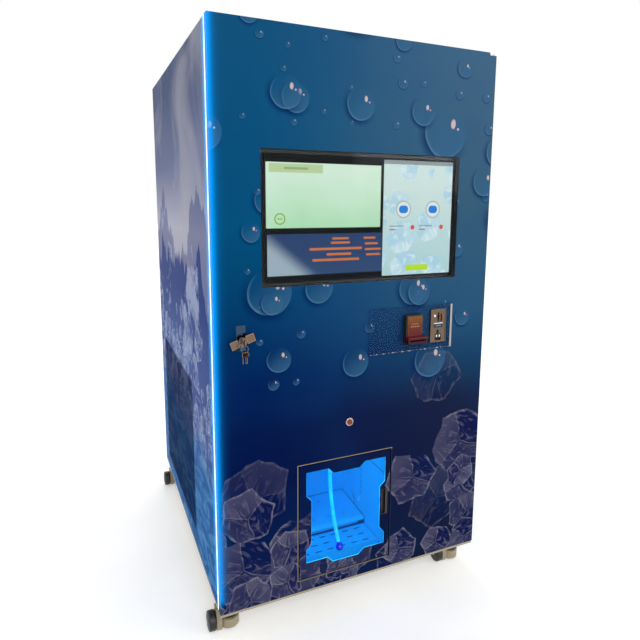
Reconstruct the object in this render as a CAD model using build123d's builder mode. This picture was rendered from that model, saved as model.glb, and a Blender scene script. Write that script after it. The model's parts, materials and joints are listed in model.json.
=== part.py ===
from build123d import *
from math import cos, pi, radians, sin, tan
import os

os.makedirs("parts", exist_ok=True)

# Ice vending machine on four levelling casters.
# Millimetres, +Z up, the door faces -Y, and the origin is on the floor under the middle of the machine.

# Whole machine
cabinet_width = 1030.0
cabinet_depth = 1255.0
cabinet_height = 1900.0
caster_height = 100.0
panel_sheet = 2.0
overrun = 20.0
seat_gap = 0.3
shaft_gap = 0.05
sweep_gap = 1.0

# Base frame: a flat sill ring in sight under the panels, a box ring above it and a floor sheet
sill_height = 12.0
sill_rail = 100.0
sill_setback = 4.0
base_rail_height = 40.0
base_rail_width = 45.0
floor_sheet = 2.0
cross_member_width = 60.0
drain_radius = 14.0

# Upper frame
post_width = 30.0
rail_height = 40.0
liner_rail_height = 30.0
bin_rail_height = 30.0

# Door
door_thickness = 28.0
door_gap = 12.0
door_sill_gap = 2.0
door_rail = 30.0
channel_wall = 2.5
pivot_inset = 15.0
pivot_radius = 6.0
pivot_pin_length = 25.0
pivot_tongue = 12.5
pivot_plate = 6.0
pivot_plate_reach = 40.0
pivot_plate_length = 73.0
door_notch = 30.0
door_notch_height = 9.0
door_bush_height = 28.0
door_bush_half = 13.0
hinge_washer_radius = 12.0
jamb_wall = 3.0

# Side panels and the vent in the left one
flange_width = 45.0
vent_setback = 406.0
vent_width = 740.0
vent_bottom = 72.0
vent_height = 628.0
vent_lap = 10.0
vent_seam = 0.3
vent_columns = 17
vent_rows = 15
vent_hole = 22.0
vent_sheet = 1.5

# Rear panel
louvre_rows = 9
louvre_columns = 2
louvre_length = 190.0
louvre_height = 9.0
louvre_pitch = 30.0
louvre_bottom = 170.0
louvre_hood = 8.0
louvre_centre = 205.0

# Light strip up the front left corner
led_width = 12.0
led_depth = 10.5
led_fillet = 4.0

# Gasket
gasket_width = 13.0
gasket_inset = 31.0
gasket_rise = 22.0

# Display in the door
screen_centre_x = 6.0
screen_centre_z = 1319.5
screen_width = 732.0
screen_height = 427.0
screen_glass = 4.0
screen_proud = 1.5
screen_fit = 1.0
screen_corner = 3.0
display_flange = 22.0
display_flange_sheet = 3.0
display_body_depth = 34.0
display_rear_depth = 22.0
display_body_inset = 12.0
display_rear_inset = 150.0
display_rear_taper = 30.0

# Clear plate that carries the two acceptors
plate_left = 19.0
plate_bottom = 845.0
plate_width = 344.0
plate_height = 164.0
plate_thickness = 10.0
plate_corner = 2.0

# Note acceptor
note_left = 154.0
note_width = 68.0
note_height = 101.0
note_body_depth = 20.0
note_neck = 6.0
note_rear_width = 92.0
note_rear_height = 112.0
note_rear_depth = 120.0
note_rear_drop = 4.0
mouth_width = 78.0
mouth_height = 24.0
mouth_depth = 37.0
mouth_fillet = 3.0
mouth_slot_width = 66.0
mouth_slot_height = 6.0
mouth_slot_depth = 24.0
note_face_margin = 4.0
note_face_proud = 2.0

# Coin acceptor
coin_left = 266.0
coin_bottom = 870.0
coin_width = 66.0
coin_height = 122.0
coin_sheet = 3.0
coin_corner = 3.0
coin_neck = 6.0
coin_rear_width = 62.0
coin_rear_height = 116.0
coin_rear_depth = 78.0
coin_slot_width = 3.2
coin_slot_height = 30.0
coin_slot_rise = 92.0
coin_slot_offset = 8.0
coin_slot_block = 5.0
coin_cup_width = 28.0
coin_cup_height = 24.0
coin_cup_rise = 18.0
coin_cup_depth = 18.0
coin_window_width = 38.0
coin_window_height = 14.0
coin_window_rise = 61.0
coin_window_depth = 1.2
return_radius = 5.0
return_rise = 98.0
return_offset = -17.0
return_proud = 5.0
return_travel = 3.0
return_depth = 12.0

# Push button
button_x = -50.0
button_z = 615.0
button_bezel_radius = 15.0
button_bezel_proud = 5.0
button_thread_radius = 11.0
button_cap_radius = 9.5
button_cap_proud = 3.5
button_travel = 3.0
button_stem_radius = 5.0
button_nut_thickness = 5.0
button_nut_radius = 15.0

# Lock, handle and keys
lock_inset = 84.0
lock_z = 945.0
lock_plate_width = 32.0
lock_plate_height = 84.0
lock_plate_rise = 6.0
lock_plate_corner = 3.0
lock_plate_thickness = 4.0
lock_body_radius = 13.0
lock_body_length = 42.0
handle_stem_radius = 8.0
handle_standoff = 16.0
handle_thickness = 7.0
handle_span = 80.0
handle_pad = 27.0
handle_bar = 14.0
handle_hub_radius = 14.0
handle_hub_proud = 3.0
handle_tilt = 20.0
handle_turn_degrees = 70.0
cam_length = 49.0
cam_width = 16.0
cam_thickness = 4.0
cam_gap = 2.0
key_shank = 8.0
key_shank_width = 7.0
key_bow_radius = 11.0
key_thickness = 2.0
key_hole_radius = 3.0
key_hole_offset = 5.0
key_depth = 20.0
key_gap = 0.2
ring_radius = 11.0
ring_wire = 1.0
spare_key_shank = 18.0
spare_key_angle = 28.0
spare_key_spread = 5.0

# Outlet hatch in the door
hatch_left = -236.0
hatch_bottom = 60.0
hatch_width = 356.0
hatch_height = 421.0
hatch_gap = 4.0
hatch_jamb = 30.0
hatch_depth = 12.0
hatch_sheet = 3.0
hatch_rim = 7.0
hatch_pin_inset = 7.0
hatch_pin_radius = 3.0
hatch_pin_length = 10.0
hatch_block = 16.0
pane_thickness = 4.0
pane_margin = 9.0
pull_width = 26.0
pull_height = 100.0
pull_inset = 8.0
pull_rise = 220.0
pull_wall = 1.5
pull_depth = 11.0
pull_lip = 9.0
window_width = 310.0
window_height = 360.0
window_left = 26.0
window_rise = 35.0
# Corners of the cut-out, each as a share of its width and height
window_shares = [
    (0.00, 1.00), (0.27, 1.00), (0.33, 0.945), (0.66, 0.945), (0.73, 1.00), (1.00, 1.00),
    (1.00, 0.74), (0.935, 0.69), (0.935, 0.245), (1.00, 0.175), (1.00, 0.055), (0.73, 0.055),
    (0.66, 0.00), (0.33, 0.00), (0.265, 0.06), (0.00, 0.06), (0.00, 0.20), (0.06, 0.245),
    (0.06, 0.705), (0.00, 0.76),
]

# Outlet compartment
liner_left = -228.0
liner_width = 340.0
liner_ceiling = 465.0
liner_depth = 358.0
liner_wall = 2.0
liner_flange = 22.0
ramp_back = 131.0
ramp_front = 118.0
ramp_length = 209.0
ramp_sheet = 3.0
ramp_lip = 12.0
ramp_hole_radius = 4.0
tray_top = 90.0
tray_lip = 3.0
tray_depth = 118.0
tray_side_gap = 2.0
tray_sheet = 3.0
tray_slot_length = 26.0
tray_slot_width = 5.0
tray_slot_columns = 6
tray_slot_pitch = 49.0
tray_slot_rows = 3
lamp_length = 260.0
lamp_width = 18.0
lamp_height = 10.0
lamp_setback = 30.0

# Drinks hose, its gland and the ball on its end
hose_diameter = 14.0
hose_x = -60.0
gland_radius = 13.0
gland_taper = 8.0
ball_radius = 14.0
ball_neck_radius = 8.0
ball_neck = 5.0
# Points of the hose from the gland down: distance behind the door's back, height over the cabinet's bottom
hose_route = [
    (113.0, 451.0), (113.0, 405.0), (111.0, 362.0), (106.0, 305.0), (95.0, 261.0), (79.0, 213.0),
    (57.0, 169.0), (28.0, 126.0),
]

# Ice bin, chute and auger
auger_x = -58.0
auger_z = 812.0
auger_radius = 50.0
auger_shaft_radius = 12.0
auger_pitch = 110.0
auger_flight = 5.0
auger_gap = 6.0
auger_rest = 2.0
bearing_length = 8.0
bin_half_width = 395.0
bin_wall = 22.0
bin_bottom_wall = 14.0
bin_front = 300.0
bin_length = 770.0
bin_top = 1330.0
bin_knee = 1010.0
chute_wall = 3.0
chute_width = 122.0
chute_depth = 112.0
chute_top = 890.0
chute_flange = 18.0
motor_width = 120.0
motor_length = 130.0
motor_radius = 42.0
gearbox_length = 50.0

# Ice maker on the bin
maker_half_width = 388.0
maker_depth = 560.0
maker_height = 470.0
maker_fillet = 12.0
maker_slot_share = 0.7
maker_slot_rows = 8
maker_slot_length = 180.0
maker_slot_height = 8.0
maker_slot_pitch = 20.0
maker_slot_depth = 6.0

# Compressor
compressor_x = 40.0
compressor_back = 170.0
compressor_radius = 95.0
compressor_height = 215.0
compressor_foot = 14.0
compressor_foot_width = 260.0
compressor_foot_depth = 170.0
compressor_dome = 45.0
compressor_port_radius = 8.0
compressor_port_height = 40.0

# Condenser, its fan and the motor on a stand
condenser_front = 430.0
condenser_width = 420.0
condenser_height = 400.0
condenser_thickness = 56.0
condenser_side_gap = 18.0
condenser_frame = 14.0
condenser_fins = 15
condenser_fin_sheet = 2.0
condenser_tube_radius = 6.0
condenser_tubes = 4
shroud_depth = 44.0
shroud_wall = 3.0
fan_radius = 150.0
fan_tip_gap = 12.0
fan_hub_radius = 34.0
fan_hub_length = 26.0
fan_blades = 5
fan_blade_root = 52.0
fan_blade_tip = 92.0
fan_blade_sheet = 3.0
fan_root_share = 0.85
fan_root_pitch = 38.0
fan_tip_pitch = 22.0
fan_motor_radius = 48.0
fan_motor_length = 90.0
fan_motor_gap = 8.0
fan_shaft_radius = 5.0
stand_width = 60.0
stand_sheet = 6.0

# Services at the back
inlet_inset = 185.0
inlet_z = 1560.0
inlet_radius = 13.0
inlet_length = 28.0
inlet_hex_radius = 19.0
inlet_hex_length = 9.0
inlet_bore = 8.0
gland_inset = 185.0
gland_z = 250.0
cable_gland_radius = 14.0
cable_gland_length = 24.0
cable_gland_nut = 10.0
cable_nut_rim = 4.0
cable_bore = 7.0

# Control box on the back of the door
control_left = -380.0
control_bottom = 580.0
control_width = 270.0
control_height = 210.0
control_depth = 70.0
control_fillet = 6.0

# Levelling casters
caster_inset_x = 48.0
caster_inset_y = 87.0
caster_plate = 88.0
caster_plate_thickness = 6.0
caster_plate_corner = 8.0
caster_bolt_radius = 4.5
caster_bolt_inset = 12.0
race_radius = 29.0
race_height = 12.0
kingpin_radius = 9.0
kingpin_length = 22.0
drum_radius = 34.0
drum_bottom = 11.0
drum_height = 33.0
collar_radius = 27.0
arm_height = 12.0
cheek_offset = 48.0
cheek_thickness = 18.0
cheek_bottom = 6.0
cheek_foot = 22.0
cheek_half = 28.0
cheek_top = 18.0
wheel_radius = 34.0
wheel_width = 26.0
wheel_shoulder = 6.0
wheel_side_gap = 1.0
axle_radius = 5.0
axle_cap_radius = 8.0
axle_cap = 2.0
foot_gap = 3.0
foot_radius = 23.0
foot_pad = 3.0
foot_ring_radius = 25.5
foot_ring_height = 4.0
foot_stem_radius = 10.0
foot_stem_rise = 20.0

# Planes and edges worked out from the sizes above
mouth_reach = plate_thickness + mouth_depth
hub_reach = handle_standoff + handle_thickness + handle_hub_proud
key_reach = hub_reach + key_shank + 2 * key_bow_radius
front_reach = max(mouth_reach, key_reach)
cabinet_middle = (front_reach - inlet_length) / 2
side = cabinet_width / 2
inner_side = side - panel_sheet
lock_x = lock_inset - side
inlet_x = side - inlet_inset
gland_x = side - gland_inset
base = caster_height
top = base + cabinet_height
under_top = top - panel_sheet
door_front = cabinet_middle - cabinet_depth / 2
skin_back = door_front + panel_sheet
door_back = door_front + door_thickness
body_front = door_back + door_gap
frame_front = body_front + panel_sheet
rear = cabinet_middle + cabinet_depth / 2
frame_rear = rear - panel_sheet
body_middle = (rear + body_front) / 2
frame_middle = (frame_front + frame_rear) / 2
panel_bottom = base + sill_height
sill_top = panel_bottom - door_sill_gap
floor_bottom = panel_bottom + base_rail_height
floor_top = floor_bottom + floor_sheet
pivot_x = side - pivot_inset
pivot_y = door_front + door_thickness / 2
liner_front = door_back + sweep_gap
liner_rear = liner_front + liner_depth
liner_top = base + liner_ceiling + liner_wall
liner_middle_x = liner_left + liner_width / 2
bin_y = body_front + bin_front
bin_rear = bin_y + bin_length
auger_height = base + auger_z
trough_radius = auger_radius + auger_gap
bin_bottom = auger_height - trough_radius - bin_bottom_wall
chute_middle_y = bin_y - chute_depth / 2

# Sill ring in sight under the panels, box ring inside them, cross members and floor sheet
sill_front = door_front + sill_setback
with BuildPart() as base_frame:
    with BuildSketch(Plane.XY.offset(base)):
        with Locations((0, (sill_front + rear) / 2)):
            Rectangle(cabinet_width, rear - sill_front)
            Rectangle(cabinet_width - 2 * sill_rail, rear - sill_front - 2 * sill_rail, mode=Mode.SUBTRACT)
    extrude(amount=sill_height - door_sill_gap)
    with BuildSketch(Plane.XY.offset(sill_top)):
        with Locations((0, body_middle)):
            Rectangle(cabinet_width, rear - body_front)
            Rectangle(cabinet_width - 2 * sill_rail, rear - body_front - 2 * sill_rail, mode=Mode.SUBTRACT)
    extrude(amount=door_sill_gap)
    with BuildSketch(Plane.XY.offset(panel_bottom)):
        with Locations((0, frame_middle)):
            Rectangle(2 * inner_side, frame_rear - frame_front)
            Rectangle(
                2 * (inner_side - base_rail_width),
                frame_rear - frame_front - 2 * base_rail_width,
                mode=Mode.SUBTRACT,
            )
        with Locations((-side / 3, frame_middle), (side / 3, frame_middle)):
            Rectangle(cross_member_width, frame_rear - frame_front - base_rail_width)
        with Locations((0, (body_front + frame_front) / 2)):
            Rectangle(2 * (side - flange_width), panel_sheet)
    extrude(amount=base_rail_height)
    with BuildSketch(Plane.XY.offset(floor_bottom)):
        with Locations((0, frame_middle)):
            Rectangle(2 * inner_side, frame_rear - frame_front)
        with Locations((-side / 2, body_middle + side / 2), (side / 2, body_middle + side / 2)):
            Circle(drain_radius, mode=Mode.SUBTRACT)
    extrude(amount=floor_sheet)
base_frame.part.label = "base_frame"
export_step(base_frame.part, "parts/base_frame.step")

# Posts and top rails, a cross rail over the outlet, two rails under the bin and their side rails
with BuildPart() as upper_frame:
    with BuildSketch(Plane.XY.offset(floor_top)):
        with Locations((0, frame_middle)):
            with GridLocations(2 * inner_side - post_width, frame_rear - frame_front - post_width, 2, 2):
                Rectangle(post_width, post_width)
    extrude(amount=under_top - floor_top)
    with BuildSketch(Plane.XY.offset(under_top - rail_height)):
        with Locations((0, frame_middle)):
            Rectangle(2 * inner_side, frame_rear - frame_front)
            Rectangle(
                2 * (inner_side - post_width),
                frame_rear - frame_front - 2 * post_width,
                mode=Mode.SUBTRACT,
            )
        with Locations((0, (body_front + frame_front) / 2)):
            Rectangle(2 * (side - flange_width), panel_sheet)
    extrude(amount=rail_height)
    with BuildSketch(Plane.XY.offset(liner_top)):
        with Locations((0, frame_front + post_width / 2)):
            Rectangle(2 * inner_side - post_width, post_width)
    extrude(amount=liner_rail_height)
    with BuildSketch(Plane.XY.offset(bin_bottom - bin_rail_height)):
        with Locations((0, bin_y + post_width), (0, bin_rear - post_width)):
            Rectangle(2 * inner_side, post_width)
        with Locations((0, frame_middle)):
            with GridLocations(2 * inner_side - post_width, frame_rear - frame_front, 2, 1):
                Rectangle(post_width, frame_rear - frame_front)
    extrude(amount=bin_rail_height)
    with BuildSketch(Plane.XY.offset(under_top)):
        with Locations((inner_side - pivot_plate_length / 2, body_front + pivot_plate_reach / 2)):
            Rectangle(pivot_plate_length, pivot_plate_reach)
    extrude(amount=-pivot_plate, mode=Mode.SUBTRACT)
upper_frame.part.label = "upper_frame"
export_step(upper_frame.part, "parts/upper_frame.step")

# Side panels are one sheet each, folded back behind the door and round the rear posts
vent_middle_y = door_front + vent_setback + vent_width / 2
vent_middle_z = base + vent_bottom + vent_height / 2
with BuildPart() as left_side_panel:
    with BuildSketch(Plane.XY.offset(panel_bottom)):
        with BuildLine():
            Polyline(
                (-side + flange_width, body_front),
                (-side, body_front),
                (-side, rear),
                (-side + flange_width, rear),
                (-side + flange_width, frame_rear),
                (-inner_side, frame_rear),
                (-inner_side, frame_front),
                (-side + flange_width, frame_front),
                close=True,
            )
        make_face()
    extrude(amount=under_top - panel_bottom)
    with BuildSketch(Plane.YZ.offset(-side - overrun)):
        with Locations((vent_middle_y, vent_middle_z)):
            Rectangle(vent_width, vent_height)
    extrude(amount=panel_sheet + 2 * overrun, mode=Mode.SUBTRACT)
left_side_panel.part.label = "left_side_panel"
export_step(left_side_panel.part, "parts/left_side_panel.step")

with BuildPart() as right_side_panel:
    with BuildSketch(Plane.XY.offset(panel_bottom)):
        with BuildLine():
            Polyline(
                (side - flange_width, body_front),
                (side, body_front),
                (side, rear),
                (side - flange_width, rear),
                (side - flange_width, frame_rear),
                (inner_side, frame_rear),
                (inner_side, frame_front),
                (side - flange_width, frame_front),
                close=True,
            )
        make_face()
    extrude(amount=under_top - panel_bottom)
    with BuildSketch(Plane.XY.offset(under_top)):
        with Locations((inner_side - pivot_plate_length / 2, body_front)):
            Rectangle(pivot_plate_length, pivot_plate_reach)
    extrude(amount=-pivot_plate, mode=Mode.SUBTRACT)
right_side_panel.part.label = "right_side_panel"
export_step(right_side_panel.part, "parts/right_side_panel.step")

# Perforated vent panel: it fills the hole in the side panel and laps behind its edge
vent_pitch_y = (vent_width - 2 * vent_lap) / vent_columns
vent_pitch_z = (vent_height - 2 * vent_lap) / vent_rows
with BuildPart() as left_vent_grille:
    with BuildSketch(Plane.YZ.offset(-side)):
        with Locations((vent_middle_y, vent_middle_z)):
            Rectangle(vent_width - 2 * vent_seam, vent_height - 2 * vent_seam)
    extrude(amount=panel_sheet)
    with BuildSketch(Plane.YZ.offset(-inner_side)):
        with Locations((vent_middle_y, vent_middle_z)):
            Rectangle(vent_width + 2 * vent_lap, vent_height + 2 * vent_lap)
    extrude(amount=vent_sheet)
    with BuildSketch(Plane.YZ.offset(-side - overrun)):
        with Locations((vent_middle_y, vent_middle_z)):
            with GridLocations(vent_pitch_y, vent_pitch_z, vent_columns, vent_rows):
                Rectangle(vent_hole, vent_hole)
    extrude(amount=panel_sheet + vent_sheet + 2 * overrun, mode=Mode.SUBTRACT)
left_vent_grille.part.label = "left_vent_grille"
export_step(left_vent_grille.part, "parts/left_vent_grille.step")

# Rear panel with two banks of hooded louvres and holes for the services
louvre_middle = base + louvre_bottom + (louvre_rows - 1) * louvre_pitch / 2
louvre_top = louvre_height / 2
with BuildPart() as rear_panel:
    with BuildSketch(Plane.XZ.offset(-rear)):
        with Locations((0, (panel_bottom + under_top) / 2)):
            Rectangle(2 * (side - flange_width), under_top - panel_bottom)
        with Locations((0, louvre_middle)):
            with GridLocations(2 * louvre_centre, louvre_pitch, louvre_columns, louvre_rows):
                Rectangle(louvre_length, louvre_height, mode=Mode.SUBTRACT)
        with Locations((inlet_x, base + inlet_z)):
            Circle(inlet_radius, mode=Mode.SUBTRACT)
        with Locations((gland_x, base + gland_z)):
            Circle(cable_gland_radius, mode=Mode.SUBTRACT)
    extrude(amount=panel_sheet)
    for column in (-louvre_centre, louvre_centre):
        for row in range(louvre_rows):
            slot_z = base + louvre_bottom + row * louvre_pitch
            with BuildSketch(Plane.YZ.offset(column - louvre_length / 2)):
                with BuildLine():
                    Polyline(
                        (rear, slot_z + louvre_top + panel_sheet),
                        (rear + louvre_hood, slot_z - louvre_top),
                        (rear + louvre_hood, slot_z - louvre_top - panel_sheet),
                        (rear, slot_z + louvre_top),
                        close=True,
                    )
                make_face()
            extrude(amount=louvre_length)
rear_panel.part.label = "rear_panel"
export_step(rear_panel.part, "parts/rear_panel.step")

with BuildPart() as top_panel:
    with BuildSketch(Plane.XY.offset(under_top)):
        with Locations((0, body_middle)):
            Rectangle(cabinet_width, rear - body_front)
    extrude(amount=panel_sheet)
top_panel.part.label = "top_panel"
export_step(top_panel.part, "parts/top_panel.step")

# Light strip up the corner between the door and the left side
with BuildPart() as led_strip:
    with BuildSketch(Plane.XY.offset(panel_bottom)) as led_section:
        with Locations((-side + led_width / 2, body_front - led_depth / 2)):
            Rectangle(led_width, led_depth)
        fillet(led_section.vertices().group_by(Axis.Y)[0], radius=led_fillet)
    extrude(amount=under_top - panel_bottom)
led_strip.part.label = "led_strip"
export_step(led_strip.part, "parts/led_strip.step")

# Door gasket on the front of the frame
gasket_bottom = panel_bottom + gasket_rise
gasket_top = under_top - gasket_rise
with BuildPart() as door_gasket:
    with BuildSketch(Plane.XZ.offset(-body_front)) as gasket_section:
        with Locations((0, (gasket_bottom + gasket_top) / 2)):
            Rectangle(2 * (side - gasket_inset), gasket_top - gasket_bottom)
            Rectangle(
                2 * (side - gasket_inset - gasket_width),
                gasket_top - gasket_bottom - 2 * gasket_width,
                mode=Mode.SUBTRACT,
            )
    extrude(amount=door_gap - seat_gap)
door_gasket.part.label = "door_gasket"
export_step(door_gasket.part, "parts/door_gasket.step")

# Pivots of the door: a cranked plate with its pin at the top, a pin and thrust washer on the sill
with BuildPart() as door_hinges:
    with BuildSketch(Plane.XY.offset(under_top)):
        with Locations((inner_side - pivot_plate_length / 2, body_front + pivot_plate_reach / 2)):
            Rectangle(pivot_plate_length, pivot_plate_reach)
        with Locations((pivot_x, (pivot_y + body_front) / 2)):
            Rectangle(2 * pivot_tongue, body_front - pivot_y)
        with Locations((pivot_x, pivot_y)):
            Circle(pivot_tongue)
    extrude(amount=-pivot_plate)
    with BuildSketch(Plane.XY.offset(under_top - pivot_plate)):
        with Locations((pivot_x, pivot_y)):
            Circle(pivot_radius)
    extrude(amount=-pivot_pin_length)
    with BuildSketch(Plane.XY.offset(sill_top)):
        with Locations((pivot_x, pivot_y)):
            Circle(hinge_washer_radius)
    extrude(amount=door_sill_gap)
    with BuildSketch(Plane.XY.offset(sill_top)):
        with Locations((pivot_x, pivot_y)):
            Circle(pivot_radius)
    extrude(amount=door_sill_gap + pivot_pin_length)
door_hinges.part.label = "door_hinges"
export_step(door_hinges.part, "parts/door_hinges.step")

# Outline of the hatch opening and the door's other openings, in the plane of the door
hatch_middle_x = hatch_left + hatch_width / 2
hatch_middle_z = base + hatch_bottom + hatch_height / 2
screen_z = base + screen_centre_z
note_middle_x = note_left + note_width / 2
mouth_bottom = base + coin_bottom + (coin_height - note_height) / 2
note_middle_z = mouth_bottom + note_height / 2
coin_middle_x = coin_left + coin_width / 2
coin_middle_z = base + coin_bottom + coin_height / 2
button_height = base + button_z
lock_height = base + lock_z

# Door skin: a shallow pan, open at the back, with a notch for the top pivot
door_middle_z = (panel_bottom + top) / 2
door_height = top - panel_bottom
with BuildPart() as door_skin:
    with BuildSketch(Plane.XZ.offset(-door_back)):
        with Locations((0, door_middle_z)):
            Rectangle(cabinet_width, door_height)
    extrude(amount=door_thickness)
    with BuildSketch(Plane.XZ.offset(-door_back)):
        with Locations((0, door_middle_z)):
            Rectangle(2 * inner_side, door_height - 2 * panel_sheet)
    extrude(amount=door_thickness - panel_sheet, mode=Mode.SUBTRACT)
    with BuildSketch(Plane.XZ.offset(-skin_back - overrun)):
        with Locations((screen_centre_x, screen_z)):
            RectangleRounded(screen_width + 2 * screen_fit, screen_height + 2 * screen_fit, screen_corner)
        with Locations((hatch_middle_x, hatch_middle_z)):
            Rectangle(
                hatch_width + 2 * (hatch_gap + jamb_wall), hatch_height + 2 * (hatch_gap + jamb_wall)
            )
        with Locations((note_middle_x, note_middle_z)):
            Rectangle(note_width - 2 * note_neck, note_height - 2 * note_neck)
        with Locations((coin_middle_x, coin_middle_z)):
            Rectangle(coin_width - 2 * coin_neck, coin_height - 2 * coin_neck)
        with Locations((button_x, button_height)):
            Circle(button_thread_radius)
        with Locations((lock_x, lock_height)):
            Circle(lock_body_radius)
    extrude(amount=panel_sheet + 2 * overrun, mode=Mode.SUBTRACT)
    with BuildSketch(Plane.XY.offset(top)):
        with Locations((side - door_notch / 2, pivot_y)):
            Rectangle(door_notch, door_thickness)
    extrude(amount=-door_notch_height, mode=Mode.SUBTRACT)
    with BuildSketch(Plane.XY.offset(panel_bottom)):
        with Locations((pivot_x, pivot_y)):
            Circle(pivot_radius + shaft_gap)
    extrude(amount=panel_sheet, mode=Mode.SUBTRACT)
door_skin.part.label = "door_skin"
export_step(door_skin.part, "parts/door_skin.step")

# Door frame: folded channels behind the skin, open towards it, with the hatch jamb and the pivot bushes
frame_left = -inner_side + door_rail
frame_right = inner_side - door_rail
frame_low = panel_bottom + panel_sheet + door_rail
frame_high = top - panel_sheet - door_rail
hatch_low = base + hatch_bottom - hatch_gap
hatch_high = base + hatch_bottom + hatch_height + hatch_gap
hatch_start = hatch_left - hatch_gap
hatch_end = hatch_left + hatch_width + hatch_gap
screen_low = screen_z - screen_height / 2 - screen_fit
screen_high = screen_z + screen_height / 2 + screen_fit
screen_start = screen_centre_x - screen_width / 2 - screen_fit
screen_end = screen_centre_x + screen_width / 2 + screen_fit
control_low = base + control_bottom
control_high = control_low + control_height
# Windows between the rails, each as left, bottom, right and top
frame_windows = [
    (hatch_start, hatch_low, hatch_end, hatch_high),
    (frame_left, frame_low, hatch_start - hatch_jamb, hatch_high),
    (hatch_end + hatch_jamb, frame_low, frame_right, hatch_high),
    (frame_left, hatch_high + door_rail, frame_right, control_low - door_rail / 2),
    (frame_left, control_low + door_rail / 2, frame_right, control_high - door_rail / 2),
    (frame_left, control_high + door_rail / 2, frame_right, screen_low - door_rail),
    (frame_left, screen_low, screen_start - door_rail, screen_high),
    (screen_start, screen_low, screen_end, screen_high),
    (screen_end + door_rail, screen_low, frame_right, screen_high),
    (frame_left, screen_high + door_rail, frame_right, frame_high),
]
with BuildPart() as door_frame:
    for wall in (0, channel_wall):
        with BuildSketch(Plane.XZ.offset(-door_back + wall)) as rails:
            with Locations((0, door_middle_z)):
                Rectangle(2 * (inner_side - wall), door_height - 2 * (panel_sheet + wall))
            for left, low, right, high in frame_windows:
                with Locations(((left + right) / 2, (low + high) / 2)):
                    Rectangle(right - left + 2 * wall, high - low + 2 * wall, mode=Mode.SUBTRACT)
        extrude(
            amount=door_thickness - panel_sheet - wall,
            mode=Mode.SUBTRACT if wall else Mode.ADD,
        )
    with BuildSketch(Plane.XZ.offset(-door_back)):
        with Locations((hatch_middle_x, hatch_middle_z)):
            Rectangle(
                hatch_width + 2 * (hatch_gap + jamb_wall), hatch_height + 2 * (hatch_gap + jamb_wall)
            )
            Rectangle(hatch_width + 2 * hatch_gap, hatch_height + 2 * hatch_gap, mode=Mode.SUBTRACT)
    extrude(amount=door_thickness)
    with BuildSketch(Plane.XY.offset(panel_bottom + panel_sheet)):
        with Locations((pivot_x, (skin_back + door_back) / 2)):
            Rectangle(2 * door_bush_half, door_back - skin_back)
    extrude(amount=door_bush_height)
    with BuildSketch(Plane.XY.offset(top - door_notch_height)):
        with Locations((pivot_x, (skin_back + door_back) / 2)):
            Rectangle(2 * door_bush_half, door_back - skin_back)
    extrude(amount=-door_bush_height)
    with BuildSketch(Plane.XY.offset(top)):
        with Locations((side - door_notch / 2, pivot_y)):
            Rectangle(door_notch, door_thickness)
    extrude(amount=-door_notch_height, mode=Mode.SUBTRACT)
    with BuildSketch(Plane.XY.offset(top - door_notch_height)):
        with Locations((pivot_x, pivot_y)):
            Circle(pivot_radius + shaft_gap)
    extrude(amount=-pivot_pin_length, mode=Mode.SUBTRACT)
    with BuildSketch(Plane.XY.offset(panel_bottom)):
        with Locations((pivot_x, pivot_y)):
            Circle(pivot_radius + shaft_gap)
    extrude(amount=pivot_pin_length + shaft_gap, mode=Mode.SUBTRACT)
    hatch_pin_x = hatch_left + hatch_pin_inset
    hatch_pin_y = door_front + hatch_pin_inset
    for start, way in ((hatch_high, -1), (hatch_low, 1)):
        with BuildSketch(Plane.XY.offset(start)):
            with Locations((hatch_pin_x, hatch_pin_y)):
                Circle(hatch_pin_radius)
        extrude(amount=way * (hatch_gap + hatch_pin_length))
door_frame.part.label = "door_frame"
export_step(door_frame.part, "parts/door_frame.step")

# Display: cover glass, and behind it the panel with its mounting flange and stepped back
glass_back = door_front - screen_proud + screen_glass
with BuildPart() as display_glass:
    with BuildSketch(Plane.XZ.offset(-glass_back)):
        with Locations((screen_centre_x, screen_z)):
            RectangleRounded(screen_width, screen_height, screen_corner)
    extrude(amount=screen_glass)
    chamfer(display_glass.faces().sort_by(Axis.Y)[0].edges(), length=screen_proud / 3)
display_glass.part.label = "display_glass"
export_step(display_glass.part, "parts/display_glass.step")

with BuildPart() as display_module:
    with BuildSketch(Plane.XZ.offset(-door_back - display_flange_sheet)):
        with Locations((screen_centre_x, screen_z)):
            Rectangle(
                screen_width + 2 * (screen_fit + display_flange),
                screen_height + 2 * (screen_fit + display_flange),
            )
    extrude(amount=display_flange_sheet)
    with BuildSketch(Plane.XZ.offset(-door_back - display_body_depth)):
        with Locations((screen_centre_x, screen_z)):
            Rectangle(screen_width - 2 * display_body_inset, screen_height - 2 * display_body_inset)
    extrude(amount=door_back + display_body_depth - glass_back)
    with BuildSketch(Plane.XZ.offset(-door_back - display_body_depth)) as body_section:
        with Locations((screen_centre_x, screen_z)):
            Rectangle(screen_width - display_rear_inset, screen_height - display_rear_inset)
    extrude(amount=-display_rear_depth, taper=display_rear_taper)
display_module.part.label = "display_module"
export_step(display_module.part, "parts/display_module.step")

# Clear plate on the door for the two acceptors
plate_front = door_front - plate_thickness
with BuildPart() as acceptor_plate:
    with BuildSketch(Plane.XZ.offset(-door_front)):
        with Locations((plate_left + plate_width / 2, base + plate_bottom + plate_height / 2)):
            RectangleRounded(plate_width, plate_height, plate_corner)
        with Locations((note_middle_x, note_middle_z)):
            Rectangle(note_width - 2 * note_neck, note_height - 2 * note_neck, mode=Mode.SUBTRACT)
        with Locations((coin_middle_x, coin_middle_z)):
            Rectangle(coin_width - 2 * coin_neck, coin_height - 2 * coin_neck, mode=Mode.SUBTRACT)
    extrude(amount=plate_thickness)
    chamfer(acceptor_plate.faces().sort_by(Axis.Y)[0].outer_wire().edges(), length=plate_corner / 2)
acceptor_plate.part.label = "acceptor_plate"
export_step(acceptor_plate.part, "parts/acceptor_plate.step")

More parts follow.
